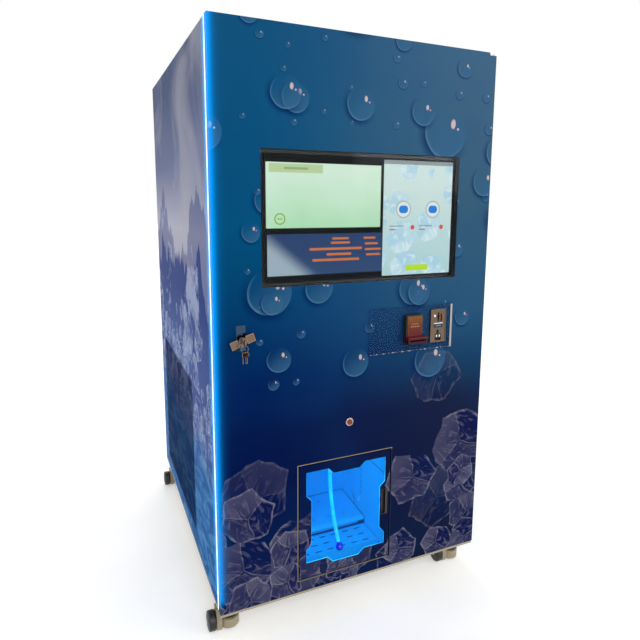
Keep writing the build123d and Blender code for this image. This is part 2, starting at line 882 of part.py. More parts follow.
# Note acceptor: the housing in front of the plate, its neck through the door and the case behind
note_top = mouth_bottom + note_height
mouth_top = mouth_bottom + mouth_height
with BuildPart() as note_acceptor:
    with BuildSketch(Plane.XZ.offset(-plate_front)):
        with Locations((note_middle_x, (mouth_top + note_top) / 2)):
            Rectangle(note_width, note_top - mouth_top)
    extrude(amount=note_body_depth)
    housing_edges = note_acceptor.edges().filter_by(Axis.Y).sort_by(Axis.Z)[-2:]
    fillet(housing_edges, radius=mouth_fillet)
    with BuildSketch(Plane.XZ.offset(-plate_front)):
        with Locations((note_middle_x, note_middle_z)):
            Rectangle(note_width - 2 * note_neck, note_height - 2 * note_neck)
    extrude(amount=-(plate_thickness + panel_sheet))
    with BuildSketch(Plane.XZ.offset(-skin_back)):
        with Locations((note_middle_x, note_middle_z - note_rear_drop)):
            Rectangle(note_rear_width, note_rear_height)
    extrude(amount=-note_rear_depth)
    fillet(note_acceptor.faces().sort_by(Axis.Y)[-1].edges(), radius=mouth_fillet)
note_acceptor.part.label = "note_acceptor"
export_step(note_acceptor.part, "parts/note_acceptor.step")

# Its bezel: a lit face over a mouth that stands out and takes the notes
note_face = plate_front - note_body_depth
mouth_front = plate_front - mouth_depth
with BuildPart() as note_bezel:
    with BuildSketch(Plane.XZ.offset(-plate_front)):
        with Locations((note_left + mouth_width / 2, (mouth_bottom + mouth_top) / 2)):
            Rectangle(mouth_width, mouth_height)
    extrude(amount=mouth_depth)
    fillet(note_bezel.faces().sort_by(Axis.Y)[0].edges(), radius=mouth_fillet)
    with BuildSketch(Plane.XZ.offset(-note_face)):
        with Locations((note_middle_x, (mouth_top + note_top) / 2)):
            Rectangle(note_width - 2 * note_face_margin, note_top - mouth_top - 2 * note_face_margin)
        with Locations((note_middle_x, mouth_top + note_face_margin)):
            Rectangle(note_width - 2 * note_face_margin, 2 * note_face_margin)
    extrude(amount=note_face_proud)
    with BuildSketch(Plane.XZ.offset(-mouth_front)):
        with Locations((note_left + mouth_width / 2, (mouth_bottom + mouth_top) / 2)):
            Rectangle(mouth_slot_width, mouth_slot_height)
    extrude(amount=-mouth_slot_depth, mode=Mode.SUBTRACT)
note_bezel.part.label = "note_bezel"
export_step(note_bezel.part, "parts/note_bezel.step")

# Coin acceptor: faceplate with slot block, window, return button bore and return cup, and the case behind
coin_face = plate_front - coin_sheet
return_x = coin_middle_x + return_offset
return_z = base + coin_bottom + return_rise
slot_x = coin_middle_x + coin_slot_offset
slot_z = base + coin_bottom + coin_slot_rise
window_z = base + coin_bottom + coin_window_rise
cup_z = base + coin_bottom + coin_cup_rise
return_bore = return_depth + return_travel + seat_gap
with BuildPart() as coin_acceptor:
    with BuildSketch(Plane.XZ.offset(-plate_front)):
        with Locations((coin_middle_x, coin_middle_z)):
            RectangleRounded(coin_width, coin_height, coin_corner)
    extrude(amount=coin_sheet)
    with BuildSketch(Plane.XZ.offset(-coin_face)):
        with Locations((slot_x, slot_z)):
            RectangleRounded(3 * coin_slot_block, coin_slot_height + coin_slot_block, coin_corner)
    extrude(amount=coin_slot_block)
    with BuildSketch(Plane.XZ.offset(-plate_front)):
        with Locations((coin_middle_x, coin_middle_z)):
            Rectangle(coin_width - 2 * coin_neck, coin_height - 2 * coin_neck)
    extrude(amount=-(plate_thickness + panel_sheet))
    with BuildSketch(Plane.XZ.offset(-skin_back)):
        with Locations((coin_middle_x, coin_middle_z)):
            Rectangle(coin_rear_width, coin_rear_height)
    extrude(amount=-coin_rear_depth)
    with BuildSketch(Plane.XZ.offset(-coin_face + coin_slot_block)):
        with Locations((slot_x, slot_z)):
            SlotOverall(coin_slot_height, coin_slot_width, rotation=90)
    extrude(amount=-(coin_slot_block + coin_sheet + plate_thickness), mode=Mode.SUBTRACT)
    with BuildSketch(Plane.XZ.offset(-coin_face)):
        with Locations((coin_middle_x, window_z)):
            Rectangle(coin_window_width, coin_window_height)
    extrude(amount=-coin_window_depth, mode=Mode.SUBTRACT)
    with BuildSketch(Plane.XZ.offset(-coin_face)):
        with Locations((coin_middle_x, cup_z)):
            RectangleRounded(coin_cup_width, coin_cup_height, coin_corner)
    extrude(amount=-coin_cup_depth, mode=Mode.SUBTRACT)
    with BuildSketch(Plane.XZ.offset(-coin_face)):
        with Locations((return_x, return_z)):
            Circle(return_radius + shaft_gap)
    extrude(amount=-return_bore, mode=Mode.SUBTRACT)
coin_acceptor.part.label = "coin_acceptor"
export_step(coin_acceptor.part, "parts/coin_acceptor.step")

with BuildPart() as coin_return_button:
    with BuildSketch(Plane.XZ.offset(-coin_face + return_proud)):
        with Locations((return_x, return_z)):
            Circle(return_radius)
    extrude(amount=-(return_proud + return_depth))
    fillet(coin_return_button.faces().sort_by(Axis.Y)[0].edges(), radius=return_radius / 2)
coin_return_button.part.label = "coin_return_button"
export_step(coin_return_button.part, "parts/coin_return_button.step")

# Push button: bezel and threaded barrel with its nut, and the cap with its stem
cap_back = door_front - button_cap_proud / 2
with BuildPart() as button_bezel:
    with BuildSketch(Plane.XZ.offset(-door_front)):
        with Locations((button_x, button_height)):
            Circle(button_bezel_radius)
    extrude(amount=button_bezel_proud)
    fillet(button_bezel.faces().sort_by(Axis.Y)[0].edges(), radius=button_bezel_proud / 2)
    with BuildSketch(Plane.XZ.offset(-door_front)):
        with Locations((button_x, button_height)):
            Circle(button_thread_radius)
    extrude(amount=-(door_thickness + button_nut_thickness))
    with BuildSketch(Plane.XZ.offset(-skin_back)):
        with Locations((button_x, button_height)):
            RegularPolygon(button_nut_radius, 6)
    extrude(amount=-button_nut_thickness)
    with BuildSketch(Plane.XZ.offset(-door_front + button_bezel_proud)):
        with Locations((button_x, button_height)):
            Circle(button_cap_radius + shaft_gap)
    extrude(
        amount=-(button_bezel_proud - button_cap_proud / 2 + button_travel + seat_gap),
        mode=Mode.SUBTRACT,
    )
    with BuildSketch(Plane.XZ.offset(-door_front + button_bezel_proud)):
        with Locations((button_x, button_height)):
            Circle(button_stem_radius + shaft_gap)
    extrude(
        amount=-(button_bezel_proud + door_thickness + button_nut_thickness),
        mode=Mode.SUBTRACT,
    )
button_bezel.part.label = "button_bezel"
export_step(button_bezel.part, "parts/button_bezel.step")

with BuildPart() as push_button:
    with BuildSketch(Plane.XZ.offset(-door_front + button_bezel_proud + button_cap_proud)):
        with Locations((button_x, button_height)):
            Circle(button_cap_radius)
    extrude(amount=-(button_bezel_proud + button_cap_proud - button_cap_proud / 2))
    fillet(push_button.faces().sort_by(Axis.Y)[0].edges(), radius=button_cap_proud / 2)
    with BuildSketch(Plane.XZ.offset(-cap_back)):
        with Locations((button_x, button_height)):
            Circle(button_stem_radius)
    extrude(amount=-door_thickness)
push_button.part.label = "push_button"
export_step(push_button.part, "parts/push_button.step")

# Lock: plate on the door and the barrel through it
with BuildPart() as lock_plate:
    with BuildSketch(Plane.XZ.offset(-door_front)):
        with Locations((lock_x, lock_height + lock_plate_rise)):
            RectangleRounded(lock_plate_width, lock_plate_height, lock_plate_corner)
    extrude(amount=lock_plate_thickness)
    chamfer(lock_plate.faces().sort_by(Axis.Y)[0].edges(), length=lock_plate_thickness / 3)
    with BuildSketch(Plane.XZ.offset(-door_front)):
        with Locations((lock_x, lock_height)):
            Circle(lock_body_radius)
    extrude(amount=-lock_body_length)
    with BuildSketch(Plane.XZ.offset(-door_front + lock_plate_thickness)):
        with Locations((lock_x, lock_height)):
            Circle(handle_stem_radius + shaft_gap)
    extrude(amount=-(lock_plate_thickness + lock_body_length), mode=Mode.SUBTRACT)
lock_plate.part.label = "lock_plate"
export_step(lock_plate.part, "parts/lock_plate.step")

# T-handle: two square pads on a bar, a hub for the key barrel, the stem and the cam behind the door
handle_back = door_front - handle_standoff
hub_face = door_front - hub_reach
cam_y = frame_front + cam_gap
pad_offset = (handle_span - handle_pad) / 2
tilt = Vector(cos(radians(handle_tilt)), 0, sin(radians(handle_tilt)))
cam_turn = 180 - handle_turn_degrees
cam_way = Vector(cos(radians(cam_turn)), 0, sin(radians(cam_turn)))
barrel_radius = handle_stem_radius - cam_gap
with BuildPart() as t_handle:
    with BuildSketch(Plane(origin=(lock_x, handle_back, lock_height), x_dir=tilt, z_dir=(0, -1, 0))):
        Rectangle(handle_span - handle_pad, handle_bar)
        with Locations((-pad_offset, 0), (pad_offset, 0)):
            RectangleRounded(handle_pad, handle_pad, handle_hub_proud)
    extrude(amount=handle_thickness)
    with BuildSketch(Plane.XZ.offset(-handle_back)):
        with Locations((lock_x, lock_height)):
            Circle(handle_hub_radius)
    extrude(amount=handle_thickness + handle_hub_proud)
    with BuildSketch(Plane.XZ.offset(-cam_y - cam_thickness)):
        with Locations((lock_x, lock_height)):
            Circle(handle_stem_radius)
    extrude(amount=cam_y + cam_thickness - handle_back)
    with BuildSketch(Plane(origin=(lock_x, cam_y, lock_height), x_dir=cam_way, z_dir=(0, 1, 0))):
        with Locations((cam_length / 2, 0)):
            Rectangle(cam_length, cam_width)
        Circle(cam_width / 2 + cam_gap)
    extrude(amount=cam_thickness)
    with BuildSketch(Plane.XZ.offset(-hub_face)):
        with Locations((lock_x, lock_height)):
            Circle(barrel_radius + shaft_gap)
    extrude(amount=-key_depth, mode=Mode.SUBTRACT)
t_handle.part.label = "t_handle"
export_step(t_handle.part, "parts/t_handle.step")

# Key barrel with the key in it
bow_y = hub_face - key_shank - key_bow_radius
key_hole_z = lock_height - key_hole_offset
with BuildPart() as lock_key:
    with BuildSketch(Plane.XZ.offset(-hub_face)):
        with Locations((lock_x, lock_height)):
            Circle(barrel_radius)
    extrude(amount=-(key_depth - shaft_gap))
    with BuildSketch(Plane.YZ.offset(lock_x - key_thickness / 2)):
        with Locations((bow_y, lock_height)):
            Circle(key_bow_radius)
        with Locations(((bow_y + hub_face) / 2, lock_height)):
            Rectangle(hub_face - bow_y, key_shank_width)
        with Locations((bow_y, key_hole_z)):
            Circle(key_hole_radius, mode=Mode.SUBTRACT)
    extrude(amount=key_thickness)
lock_key.part.label = "lock_key"
export_step(lock_key.part, "parts/lock_key.step")

# Split ring through the key, with two spare keys hanging on it
ring_seat = key_hole_radius - ring_wire - key_gap
ring_pin_z = key_hole_z - ring_seat
ring_z = ring_pin_z - ring_radius
with BuildPart() as key_ring:
    with BuildSketch(Plane.XY.offset(ring_z)):
        with Locations((lock_x + ring_radius, bow_y)):
            Circle(ring_wire)
    revolve(axis=Axis((lock_x, bow_y, ring_z), (0, 1, 0)))
    for way in (-1, 1):
        spare_x = lock_x + way * spare_key_spread
        wire_z = ring_z - (ring_radius**2 - spare_key_spread**2) ** 0.5
        hole_z = wire_z - ring_seat
        bow_z = hole_z - key_hole_offset
        facing = Vector(cos(radians(spare_key_angle)), way * sin(radians(spare_key_angle)), 0)
        with BuildSketch(Plane(origin=(spare_x, bow_y, bow_z), x_dir=(0, 0, -1), z_dir=facing)):
            Circle(key_bow_radius)
            with Locations(((key_bow_radius + spare_key_shank) / 2, 0)):
                Rectangle(key_bow_radius + spare_key_shank, key_shank_width)
            with Locations((-key_hole_offset, 0)):
                Circle(key_hole_radius, mode=Mode.SUBTRACT)
        extrude(amount=key_thickness / 2, both=True)
key_ring.part.label = "key_ring"
export_step(key_ring.part, "parts/key_ring.step")

# Hatch: a sheet with the stepped cut-out, a rim round it and two pivot blocks on the left
window_low = base + hatch_bottom + window_rise
window_start = hatch_left + window_left
window_points = [
    (window_start + across * window_width, window_low + up * window_height) for across, up in window_shares
]
pull_x = hatch_left + hatch_width - pull_inset - pull_width / 2
pull_z = base + hatch_bottom + pull_rise
hatch_back = door_front + hatch_depth
with BuildPart() as hatch_panel:
    with BuildSketch(Plane.XZ.offset(-door_front - hatch_sheet)):
        with Locations((hatch_middle_x, hatch_middle_z)):
            Rectangle(hatch_width, hatch_height)
        with BuildLine():
            Polyline(*window_points, close=True)
        make_face(mode=Mode.SUBTRACT)
        with Locations((pull_x, pull_z)):
            Rectangle(pull_width, pull_height, mode=Mode.SUBTRACT)
    extrude(amount=hatch_sheet)
    with BuildSketch(Plane.XZ.offset(-hatch_back)):
        with Locations((hatch_middle_x, hatch_middle_z)):
            Rectangle(hatch_width, hatch_height)
            Rectangle(hatch_width - 2 * hatch_rim, hatch_height - 2 * hatch_rim, mode=Mode.SUBTRACT)
        with Locations((hatch_left + hatch_block / 2, hatch_middle_z)):
            with GridLocations(0, hatch_height - hatch_block, 1, 2):
                Rectangle(hatch_block, hatch_block)
    extrude(amount=hatch_depth)
    for start, way in ((hatch_middle_z + hatch_height / 2, -1), (hatch_middle_z - hatch_height / 2, 1)):
        with BuildSketch(Plane.XY.offset(start)):
            with Locations((hatch_pin_x, hatch_pin_y)):
                Circle(hatch_pin_radius + shaft_gap)
        extrude(amount=way * (hatch_pin_length + shaft_gap), mode=Mode.SUBTRACT)
hatch_panel.part.label = "hatch_panel"
export_step(hatch_panel.part, "parts/hatch_panel.step")

# Clear pane behind the cut-out, inside the rim, with a bay for the pull
pane_front = door_front + hatch_sheet
with BuildPart() as hatch_pane:
    with BuildSketch(Plane.XZ.offset(-pane_front - pane_thickness)):
        with Locations((hatch_middle_x, hatch_middle_z)):
            Rectangle(hatch_width - 2 * hatch_rim, hatch_height - 2 * hatch_rim)
            with GridLocations(hatch_width - 2 * hatch_rim, hatch_height - 2 * hatch_rim, 2, 2):
                Rectangle(2 * pane_margin, 2 * pane_margin, mode=Mode.SUBTRACT)
        with Locations((pull_x + pull_inset, pull_z)):
            Rectangle(
                pull_width + 2 * (pull_inset + sweep_gap), pull_height + 2 * sweep_gap, mode=Mode.SUBTRACT
            )
    extrude(amount=pane_thickness)
hatch_pane.part.label = "hatch_pane"
export_step(hatch_pane.part, "parts/hatch_pane.step")

# Cup pull in the right margin, with a finger lip on its far side
with BuildPart() as hatch_pull:
    with BuildSketch(Plane.XZ.offset(-door_front - pull_depth)):
        with Locations((pull_x, pull_z)):
            Rectangle(pull_width, pull_height)
    extrude(amount=pull_depth)
    with BuildSketch(Plane.XZ.offset(-door_front)):
        with Locations((pull_x, pull_z)):
            Rectangle(pull_width - 2 * pull_wall, pull_height - 2 * pull_wall)
    extrude(amount=-(pull_depth - pull_wall), mode=Mode.SUBTRACT)
    with BuildSketch(Plane.XZ.offset(-door_front)):
        with Locations((pull_x + pull_width / 2 - pull_lip / 2, pull_z)):
            Rectangle(pull_lip, pull_height - 2 * pull_wall)
    extrude(amount=-pull_wall)
hatch_pull.part.label = "hatch_pull"
export_step(hatch_pull.part, "parts/hatch_pull.step")

# Outlet compartment: an open-fronted box with a mounting flange and a hole in its ceiling for the chute
liner_middle_y = (liner_front + liner_rear) / 2
hose_start, hose_top = hose_route[0]
gland_y = door_back + hose_start
with BuildPart() as outlet_liner:
    with BuildSketch(Plane.XY.offset(floor_top)):
        with Locations((liner_middle_x, liner_middle_y + liner_wall / 2)):
            Rectangle(liner_width + 2 * liner_wall, liner_depth + liner_wall)
    extrude(amount=liner_top - floor_top)
    with BuildSketch(Plane.XY.offset(floor_top + liner_wall)):
        with Locations((liner_middle_x, liner_middle_y - overrun / 2)):
            Rectangle(liner_width, liner_depth + overrun)
    extrude(amount=liner_top - floor_top - 2 * liner_wall, mode=Mode.SUBTRACT)
    with BuildSketch(Plane.XZ.offset(-frame_front)):
        with Locations((liner_middle_x, liner_top + liner_flange / 2)):
            Rectangle(liner_width + 2 * liner_wall, liner_flange)
    extrude(amount=frame_front - body_front)
    with BuildSketch(Plane.XY.offset(liner_top)):
        with Locations((auger_x, chute_middle_y)):
            Rectangle(chute_width - 2 * chute_wall, chute_depth - 2 * chute_wall)
        with Locations((hose_x, gland_y)):
            Circle(hose_diameter / 2)
    extrude(amount=-liner_wall, mode=Mode.SUBTRACT)
outlet_liner.part.label = "outlet_liner"
export_step(outlet_liner.part, "parts/outlet_liner.step")

# Chute ramp: a sloping sheet with a turned-down lip and drip holes
with BuildPart() as chute_ramp:
    with BuildSketch(Plane.YZ.offset(liner_left)):
        with BuildLine():
            Polyline(
                (liner_rear, base + ramp_back),
                (liner_rear - ramp_length, base + ramp_front),
                (liner_rear - ramp_length, base + ramp_front - ramp_lip),
                (liner_rear - ramp_length + ramp_sheet, base + ramp_front - ramp_lip),
                (liner_rear - ramp_length + ramp_sheet, base + ramp_front - ramp_sheet),
                (liner_rear, base + ramp_back - ramp_sheet),
                close=True,
            )
        make_face()
    extrude(amount=liner_width)
    with BuildSketch(Plane.XY.offset(base + ramp_front - overrun)):
        with Locations((liner_middle_x, liner_rear - ramp_length / 2)):
            with GridLocations(liner_width / 5, ramp_length / 2, 4, 2):
                Circle(ramp_hole_radius)
    extrude(amount=ramp_back - ramp_front + 2 * overrun, mode=Mode.SUBTRACT)
chute_ramp.part.label = "chute_ramp"
export_step(chute_ramp.part, "parts/chute_ramp.step")

# Drain tray: a slotted top on skirts that stand on the compartment's floor
tray_rear = liner_rear - ramp_length - tray_side_gap
tray_front = tray_rear - tray_depth
tray_width = liner_width - 2 * tray_side_gap
tray_floor = floor_top + liner_wall
with BuildPart() as drain_tray:
    with BuildSketch(Plane.XY.offset(tray_floor)):
        with Locations((liner_middle_x, (tray_front + tray_rear) / 2)):
            Rectangle(tray_width, tray_depth)
            Rectangle(tray_width - 2 * tray_sheet, tray_depth - 2 * tray_sheet, mode=Mode.SUBTRACT)
    extrude(amount=base + tray_top - tray_floor)
    with BuildSketch(Plane.XY.offset(base + tray_top)):
        with Locations((liner_middle_x, (tray_front + tray_rear) / 2)):
            Rectangle(tray_width, tray_depth)
            slot_pitch_y = tray_depth / tray_slot_rows
            with GridLocations(tray_slot_pitch, slot_pitch_y, tray_slot_columns, tray_slot_rows):
                SlotOverall(tray_slot_length, tray_slot_width, mode=Mode.SUBTRACT)
    extrude(amount=-tray_sheet)
    with BuildSketch(Plane.XY.offset(base + tray_top)):
        with Locations((liner_middle_x, tray_front + tray_sheet / 2)):
            Rectangle(tray_width, tray_sheet)
    extrude(amount=tray_lip)
drain_tray.part.label = "drain_tray"
export_step(drain_tray.part, "parts/drain_tray.step")

# Light bar under the compartment's ceiling
lamp_y = liner_front + lamp_setback
with BuildPart() as compartment_light:
    with BuildSketch(Plane.YZ.offset(liner_middle_x - lamp_length / 2)) as lamp_section:
        with Locations((lamp_y, base + liner_ceiling - lamp_height / 2)):
            Rectangle(lamp_width, lamp_height)
        fillet(lamp_section.vertices().group_by(Axis.Y)[0], radius=lamp_height / 3)
    extrude(amount=lamp_length)
compartment_light.part.label = "compartment_light"
export_step(compartment_light.part, "parts/compartment_light.step")

# Hose gland under the ceiling
with BuildPart() as hose_gland:
    with BuildSketch(Plane.XY.offset(base + liner_ceiling)):
        with Locations((hose_x, gland_y)):
            Circle(gland_radius)
    extrude(amount=hose_top - liner_ceiling, taper=gland_taper)
hose_gland.part.label = "hose_gland"
export_step(hose_gland.part, "parts/hose_gland.step")

# Drinks hose: straight runs joined by tangent arcs
hose_points = [Vector(hose_x, door_back + behind, base + height) for behind, height in hose_route]
hose_radii = []
for before, corner, after in zip(hose_points, hose_points[1:], hose_points[2:]):
    shorter = min((corner - before).length, (after - corner).length)
    turn = (corner - before).get_angle(after - corner)
    hose_radii.append(0.45 * shorter / tan(radians(turn) / 2))
print("hose radii", [round(radius) for radius in hose_radii])
hose_way = (hose_points[-1] - hose_points[-2]).normalized()
with BuildPart() as drink_hose:
    with BuildLine() as hose_line:
        FilletPolyline(*hose_points, radius=hose_radii)
    with BuildSketch(Plane(origin=hose_points[0], x_dir=(1, 0, 0), z_dir=hose_points[1] - hose_points[0])):
        Circle(hose_diameter / 2)
    sweep()
hose_length = sum(edge.length for edge in hose_line.edges())
hose_section = pi * hose_diameter**2 / 4
print("hose length", round(hose_length, 1), "section times length", round(hose_section * hose_length))
print("hose volume", round(drink_hose.part.volume))
drink_hose.part.label = "drink_hose"
export_step(drink_hose.part, "parts/drink_hose.step")

# Ball on the end of the hose
ball_middle = ball_neck + (ball_radius**2 - ball_neck_radius**2) ** 0.5
ball_end = ball_middle + ball_radius
with BuildPart() as hose_nozzle:
    with BuildSketch(Plane(origin=hose_points[-1], x_dir=(1, 0, 0), z_dir=hose_way.cross(Vector(1, 0, 0)))):
        with BuildLine():
            Line((0, 0), (ball_neck_radius, 0))
            Line((ball_neck_radius, 0), (ball_neck_radius, -ball_neck))
            ThreePointArc((ball_neck_radius, -ball_neck), (ball_radius, -ball_middle), (0, -ball_end))
            Line((0, -ball_end), (0, 0))
        make_face()
    revolve(axis=Axis(hose_points[-1], hose_way))
hose_nozzle.part.label = "hose_nozzle"
export_step(hose_nozzle.part, "parts/hose_nozzle.step")

# Ice chute: a duct from the front of the bin down to the compartment, with the auger's front bearing
with BuildPart() as ice_chute:
    with BuildSketch(Plane.XY.offset(liner_top)):
        with Locations((auger_x, chute_middle_y)):
            Rectangle(chute_width, chute_depth)
    extrude(amount=base + chute_top - liner_top)
    with BuildSketch(Plane.XY.offset(liner_top)):
        with Locations((auger_x, chute_middle_y - chute_flange / 2)):
            Rectangle(chute_width + 2 * chute_flange, chute_depth + chute_flange)
    extrude(amount=chute_wall)
    with BuildSketch(Plane.XY.offset(liner_top)):
        with Locations((auger_x, chute_middle_y)):
            Rectangle(chute_width - 2 * chute_wall, chute_depth - 2 * chute_wall)
    extrude(amount=base + chute_top - liner_top - chute_wall, mode=Mode.SUBTRACT)
    with BuildSketch(Plane.XZ.offset(-bin_y)):
        with Locations((auger_x, auger_height)):
            Circle(trough_radius)
    extrude(amount=2 * chute_wall, mode=Mode.SUBTRACT)
    with BuildSketch(Plane.XZ.offset(-bin_y + chute_depth - chute_wall)):
        with Locations((auger_x, auger_height)):
            Circle(2 * auger_shaft_radius)
    extrude(amount=chute_wall + bearing_length)
    with BuildSketch(Plane.XZ.offset(-bin_y)):
        with Locations((auger_x, auger_height)):
            Circle(auger_shaft_radius + shaft_gap)
    extrude(amount=chute_depth + bearing_length, mode=Mode.SUBTRACT)
ice_chute.part.label = "ice_chute"
export_step(ice_chute.part, "parts/ice_chute.step")

# Ice bin: an insulated hopper that narrows to a round trough for the auger
bin_knee_z = base + bin_knee
bin_roof = base + bin_top
maker_y = bin_rear - maker_depth
with BuildPart() as ice_bin:
    for inset, radius, roof, start, length in (
        (0, trough_radius + bin_bottom_wall, bin_roof, bin_rear, bin_length),
        (bin_wall, trough_radius, bin_roof - bin_wall, bin_rear - bin_wall, bin_length - 2 * bin_wall),
    ):
        with BuildSketch(Plane.XZ.offset(-start)):
            with BuildLine():
                Polyline(
                    (auger_x - radius, auger_height),
                    (-bin_half_width + inset, bin_knee_z),
                    (-bin_half_width + inset, roof),
                    (bin_half_width - inset, roof),
                    (bin_half_width - inset, bin_knee_z),
                    (auger_x + radius, auger_height),
                )
                ThreePointArc(
                    (auger_x + radius, auger_height),
                    (auger_x, auger_height - radius),
                    (auger_x - radius, auger_height),
                )
            make_face()
        extrude(amount=length, mode=Mode.SUBTRACT if inset else Mode.ADD)
    with BuildSketch(Plane.XY.offset(bin_roof)):
        with Locations((0, (maker_y + bin_rear) / 2)):
            Rectangle(2 * (bin_half_width - bin_wall), maker_depth - 2 * bin_wall)
    extrude(amount=-bin_wall, mode=Mode.SUBTRACT)
    with BuildSketch(Plane.XZ.offset(-bin_y - bin_wall)):
        with Locations((auger_x, auger_height)):
            Circle(trough_radius)
    extrude(amount=bin_wall, mode=Mode.SUBTRACT)
    with BuildSketch(Plane.XZ.offset(-bin_rear)):
        with Locations((auger_x, auger_height)):
            Circle(auger_shaft_radius + shaft_gap)
    extrude(amount=bin_wall, mode=Mode.SUBTRACT)
ice_bin.part.label = "ice_bin"
export_step(ice_bin.part, "parts/ice_bin.step")

# Auger: one helical flight on a shaft that runs from the front bearing into the gearbox
flight_start = bin_rear - bin_wall - auger_rest
flight_length = flight_start - (bin_y - chute_depth / 2)
shaft_start = bin_rear + gearbox_length - auger_rest
shaft_end = bin_y - chute_depth - bearing_length
flight_centre = Vector(auger_x, flight_start - auger_flight, auger_height)
with BuildPart() as auger:
    with BuildLine():
        Helix(
            pitch=auger_pitch,
            height=flight_length - 2 * auger_flight,
            radius=auger_shaft_radius,
            center=flight_centre,
            direction=(0, -1, 0),
        )
    flight_root = Plane(
        origin=flight_centre - Vector(0, 0, auger_shaft_radius), x_dir=(0, 0, -1), z_dir=(1, 0, 0)
    )
    with BuildSketch(flight_root):
        with Locations(((auger_radius - auger_shaft_radius - auger_rest) / 2, 0)):
            Rectangle(auger_radius - auger_shaft_radius + auger_rest, auger_flight)
    sweep(is_frenet=True)
    with BuildSketch(Plane.XZ.offset(-shaft_start)):
        with Locations((auger_x, auger_height)):
            Circle(auger_shaft_radius)
    extrude(amount=shaft_start - shaft_end)
auger.part.label = "auger"
export_step(auger.part, "parts/auger.step")

# Gearmotor on the back of the bin
with BuildPart() as auger_motor:
    with BuildSketch(Plane.XZ.offset(-bin_rear)):
        with Locations((auger_x, auger_height)):
            RectangleRounded(motor_width, motor_width, bin_bottom_wall)
    extrude(amount=-gearbox_length)
    with BuildSketch(Plane.XZ.offset(-bin_rear - gearbox_length)):
        with Locations((auger_x, auger_height)):
            Circle(motor_radius)
    extrude(amount=-(motor_length - gearbox_length))
    fillet(auger_motor.faces().sort_by(Axis.Y)[-1].edges(), radius=bin_bottom_wall)
    with BuildSketch(Plane.XZ.offset(-bin_rear)):
        with Locations((auger_x, auger_height)):
            Circle(auger_shaft_radius + shaft_gap)
    extrude(amount=-gearbox_length, mode=Mode.SUBTRACT)
auger_motor.part.label = "auger_motor"
export_step(auger_motor.part, "parts/auger_motor.step")

# Ice maker head: an open-bottomed cover that stands on the rim of the bin, with air slots in its sides
maker_middle_y = (maker_y + bin_rear) / 2
with BuildPart() as ice_maker:
    with BuildSketch(Plane.XY.offset(bin_roof)):
        with Locations((0, maker_middle_y)):
            RectangleRounded(2 * maker_half_width, maker_depth, maker_fillet)
    extrude(amount=maker_height)
    fillet(ice_maker.faces().sort_by(Axis.Z)[-1].edges(), radius=maker_fillet / 2)
    with BuildSketch(Plane.XY.offset(bin_roof)):
        with Locations((0, maker_middle_y)):
            Rectangle(2 * (bin_half_width - bin_wall), maker_depth - 2 * bin_wall)
    extrude(amount=maker_height - bin_wall, mode=Mode.SUBTRACT)
    slot_middle = bin_roof + maker_height * maker_slot_share
    for face_x, way in ((-maker_half_width, 1), (maker_half_width, -1)):
        with BuildSketch(Plane.YZ.offset(face_x)):
            with Locations((maker_middle_y, slot_middle)):
                with GridLocations(0, maker_slot_pitch, 1, maker_slot_rows):
                    Rectangle(maker_slot_length, maker_slot_height)
        extrude(amount=way * maker_slot_depth, mode=Mode.SUBTRACT)
ice_maker.part.label = "ice_maker"
export_step(ice_maker.part, "parts/ice_maker.step")

# Compressor: a welded shell on a foot plate, with its suction and discharge stubs
compressor_y = rear - compressor_back
shell_bottom = floor_top + compressor_foot
shell_top = shell_bottom + compressor_height
with BuildPart() as compressor:
    with BuildSketch(Plane.XY.offset(floor_top)):
        with Locations((compressor_x, compressor_y)):
            RectangleRounded(compressor_foot_width, compressor_foot_depth, compressor_foot)
    extrude(amount=compressor_foot)
    with BuildSketch(Plane.XZ.offset(-compressor_y)):
        with BuildLine():
            Polyline(
                (compressor_x, shell_bottom),
                (compressor_x + compressor_radius, shell_bottom),
                (compressor_x + compressor_radius, shell_top - compressor_dome),
            )
            EllipticalCenterArc(
                (compressor_x, shell_top - compressor_dome), compressor_radius, compressor_dome
            )
            Line((compressor_x, shell_top), (compressor_x, shell_bottom))
        make_face()
    revolve(axis=Axis((compressor_x, compressor_y, 0), (0, 0, 1)))
    with BuildSketch(Plane.XY.offset(shell_top - compressor_dome)):
        with Locations((compressor_x - compressor_radius / 2, compressor_y), (compressor_x, compressor_y)):
            Circle(compressor_port_radius)
    extrude(amount=compressor_dome + compressor_port_height)
compressor.part.label = "compressor"
export_step(compressor.part, "parts/compressor.step")

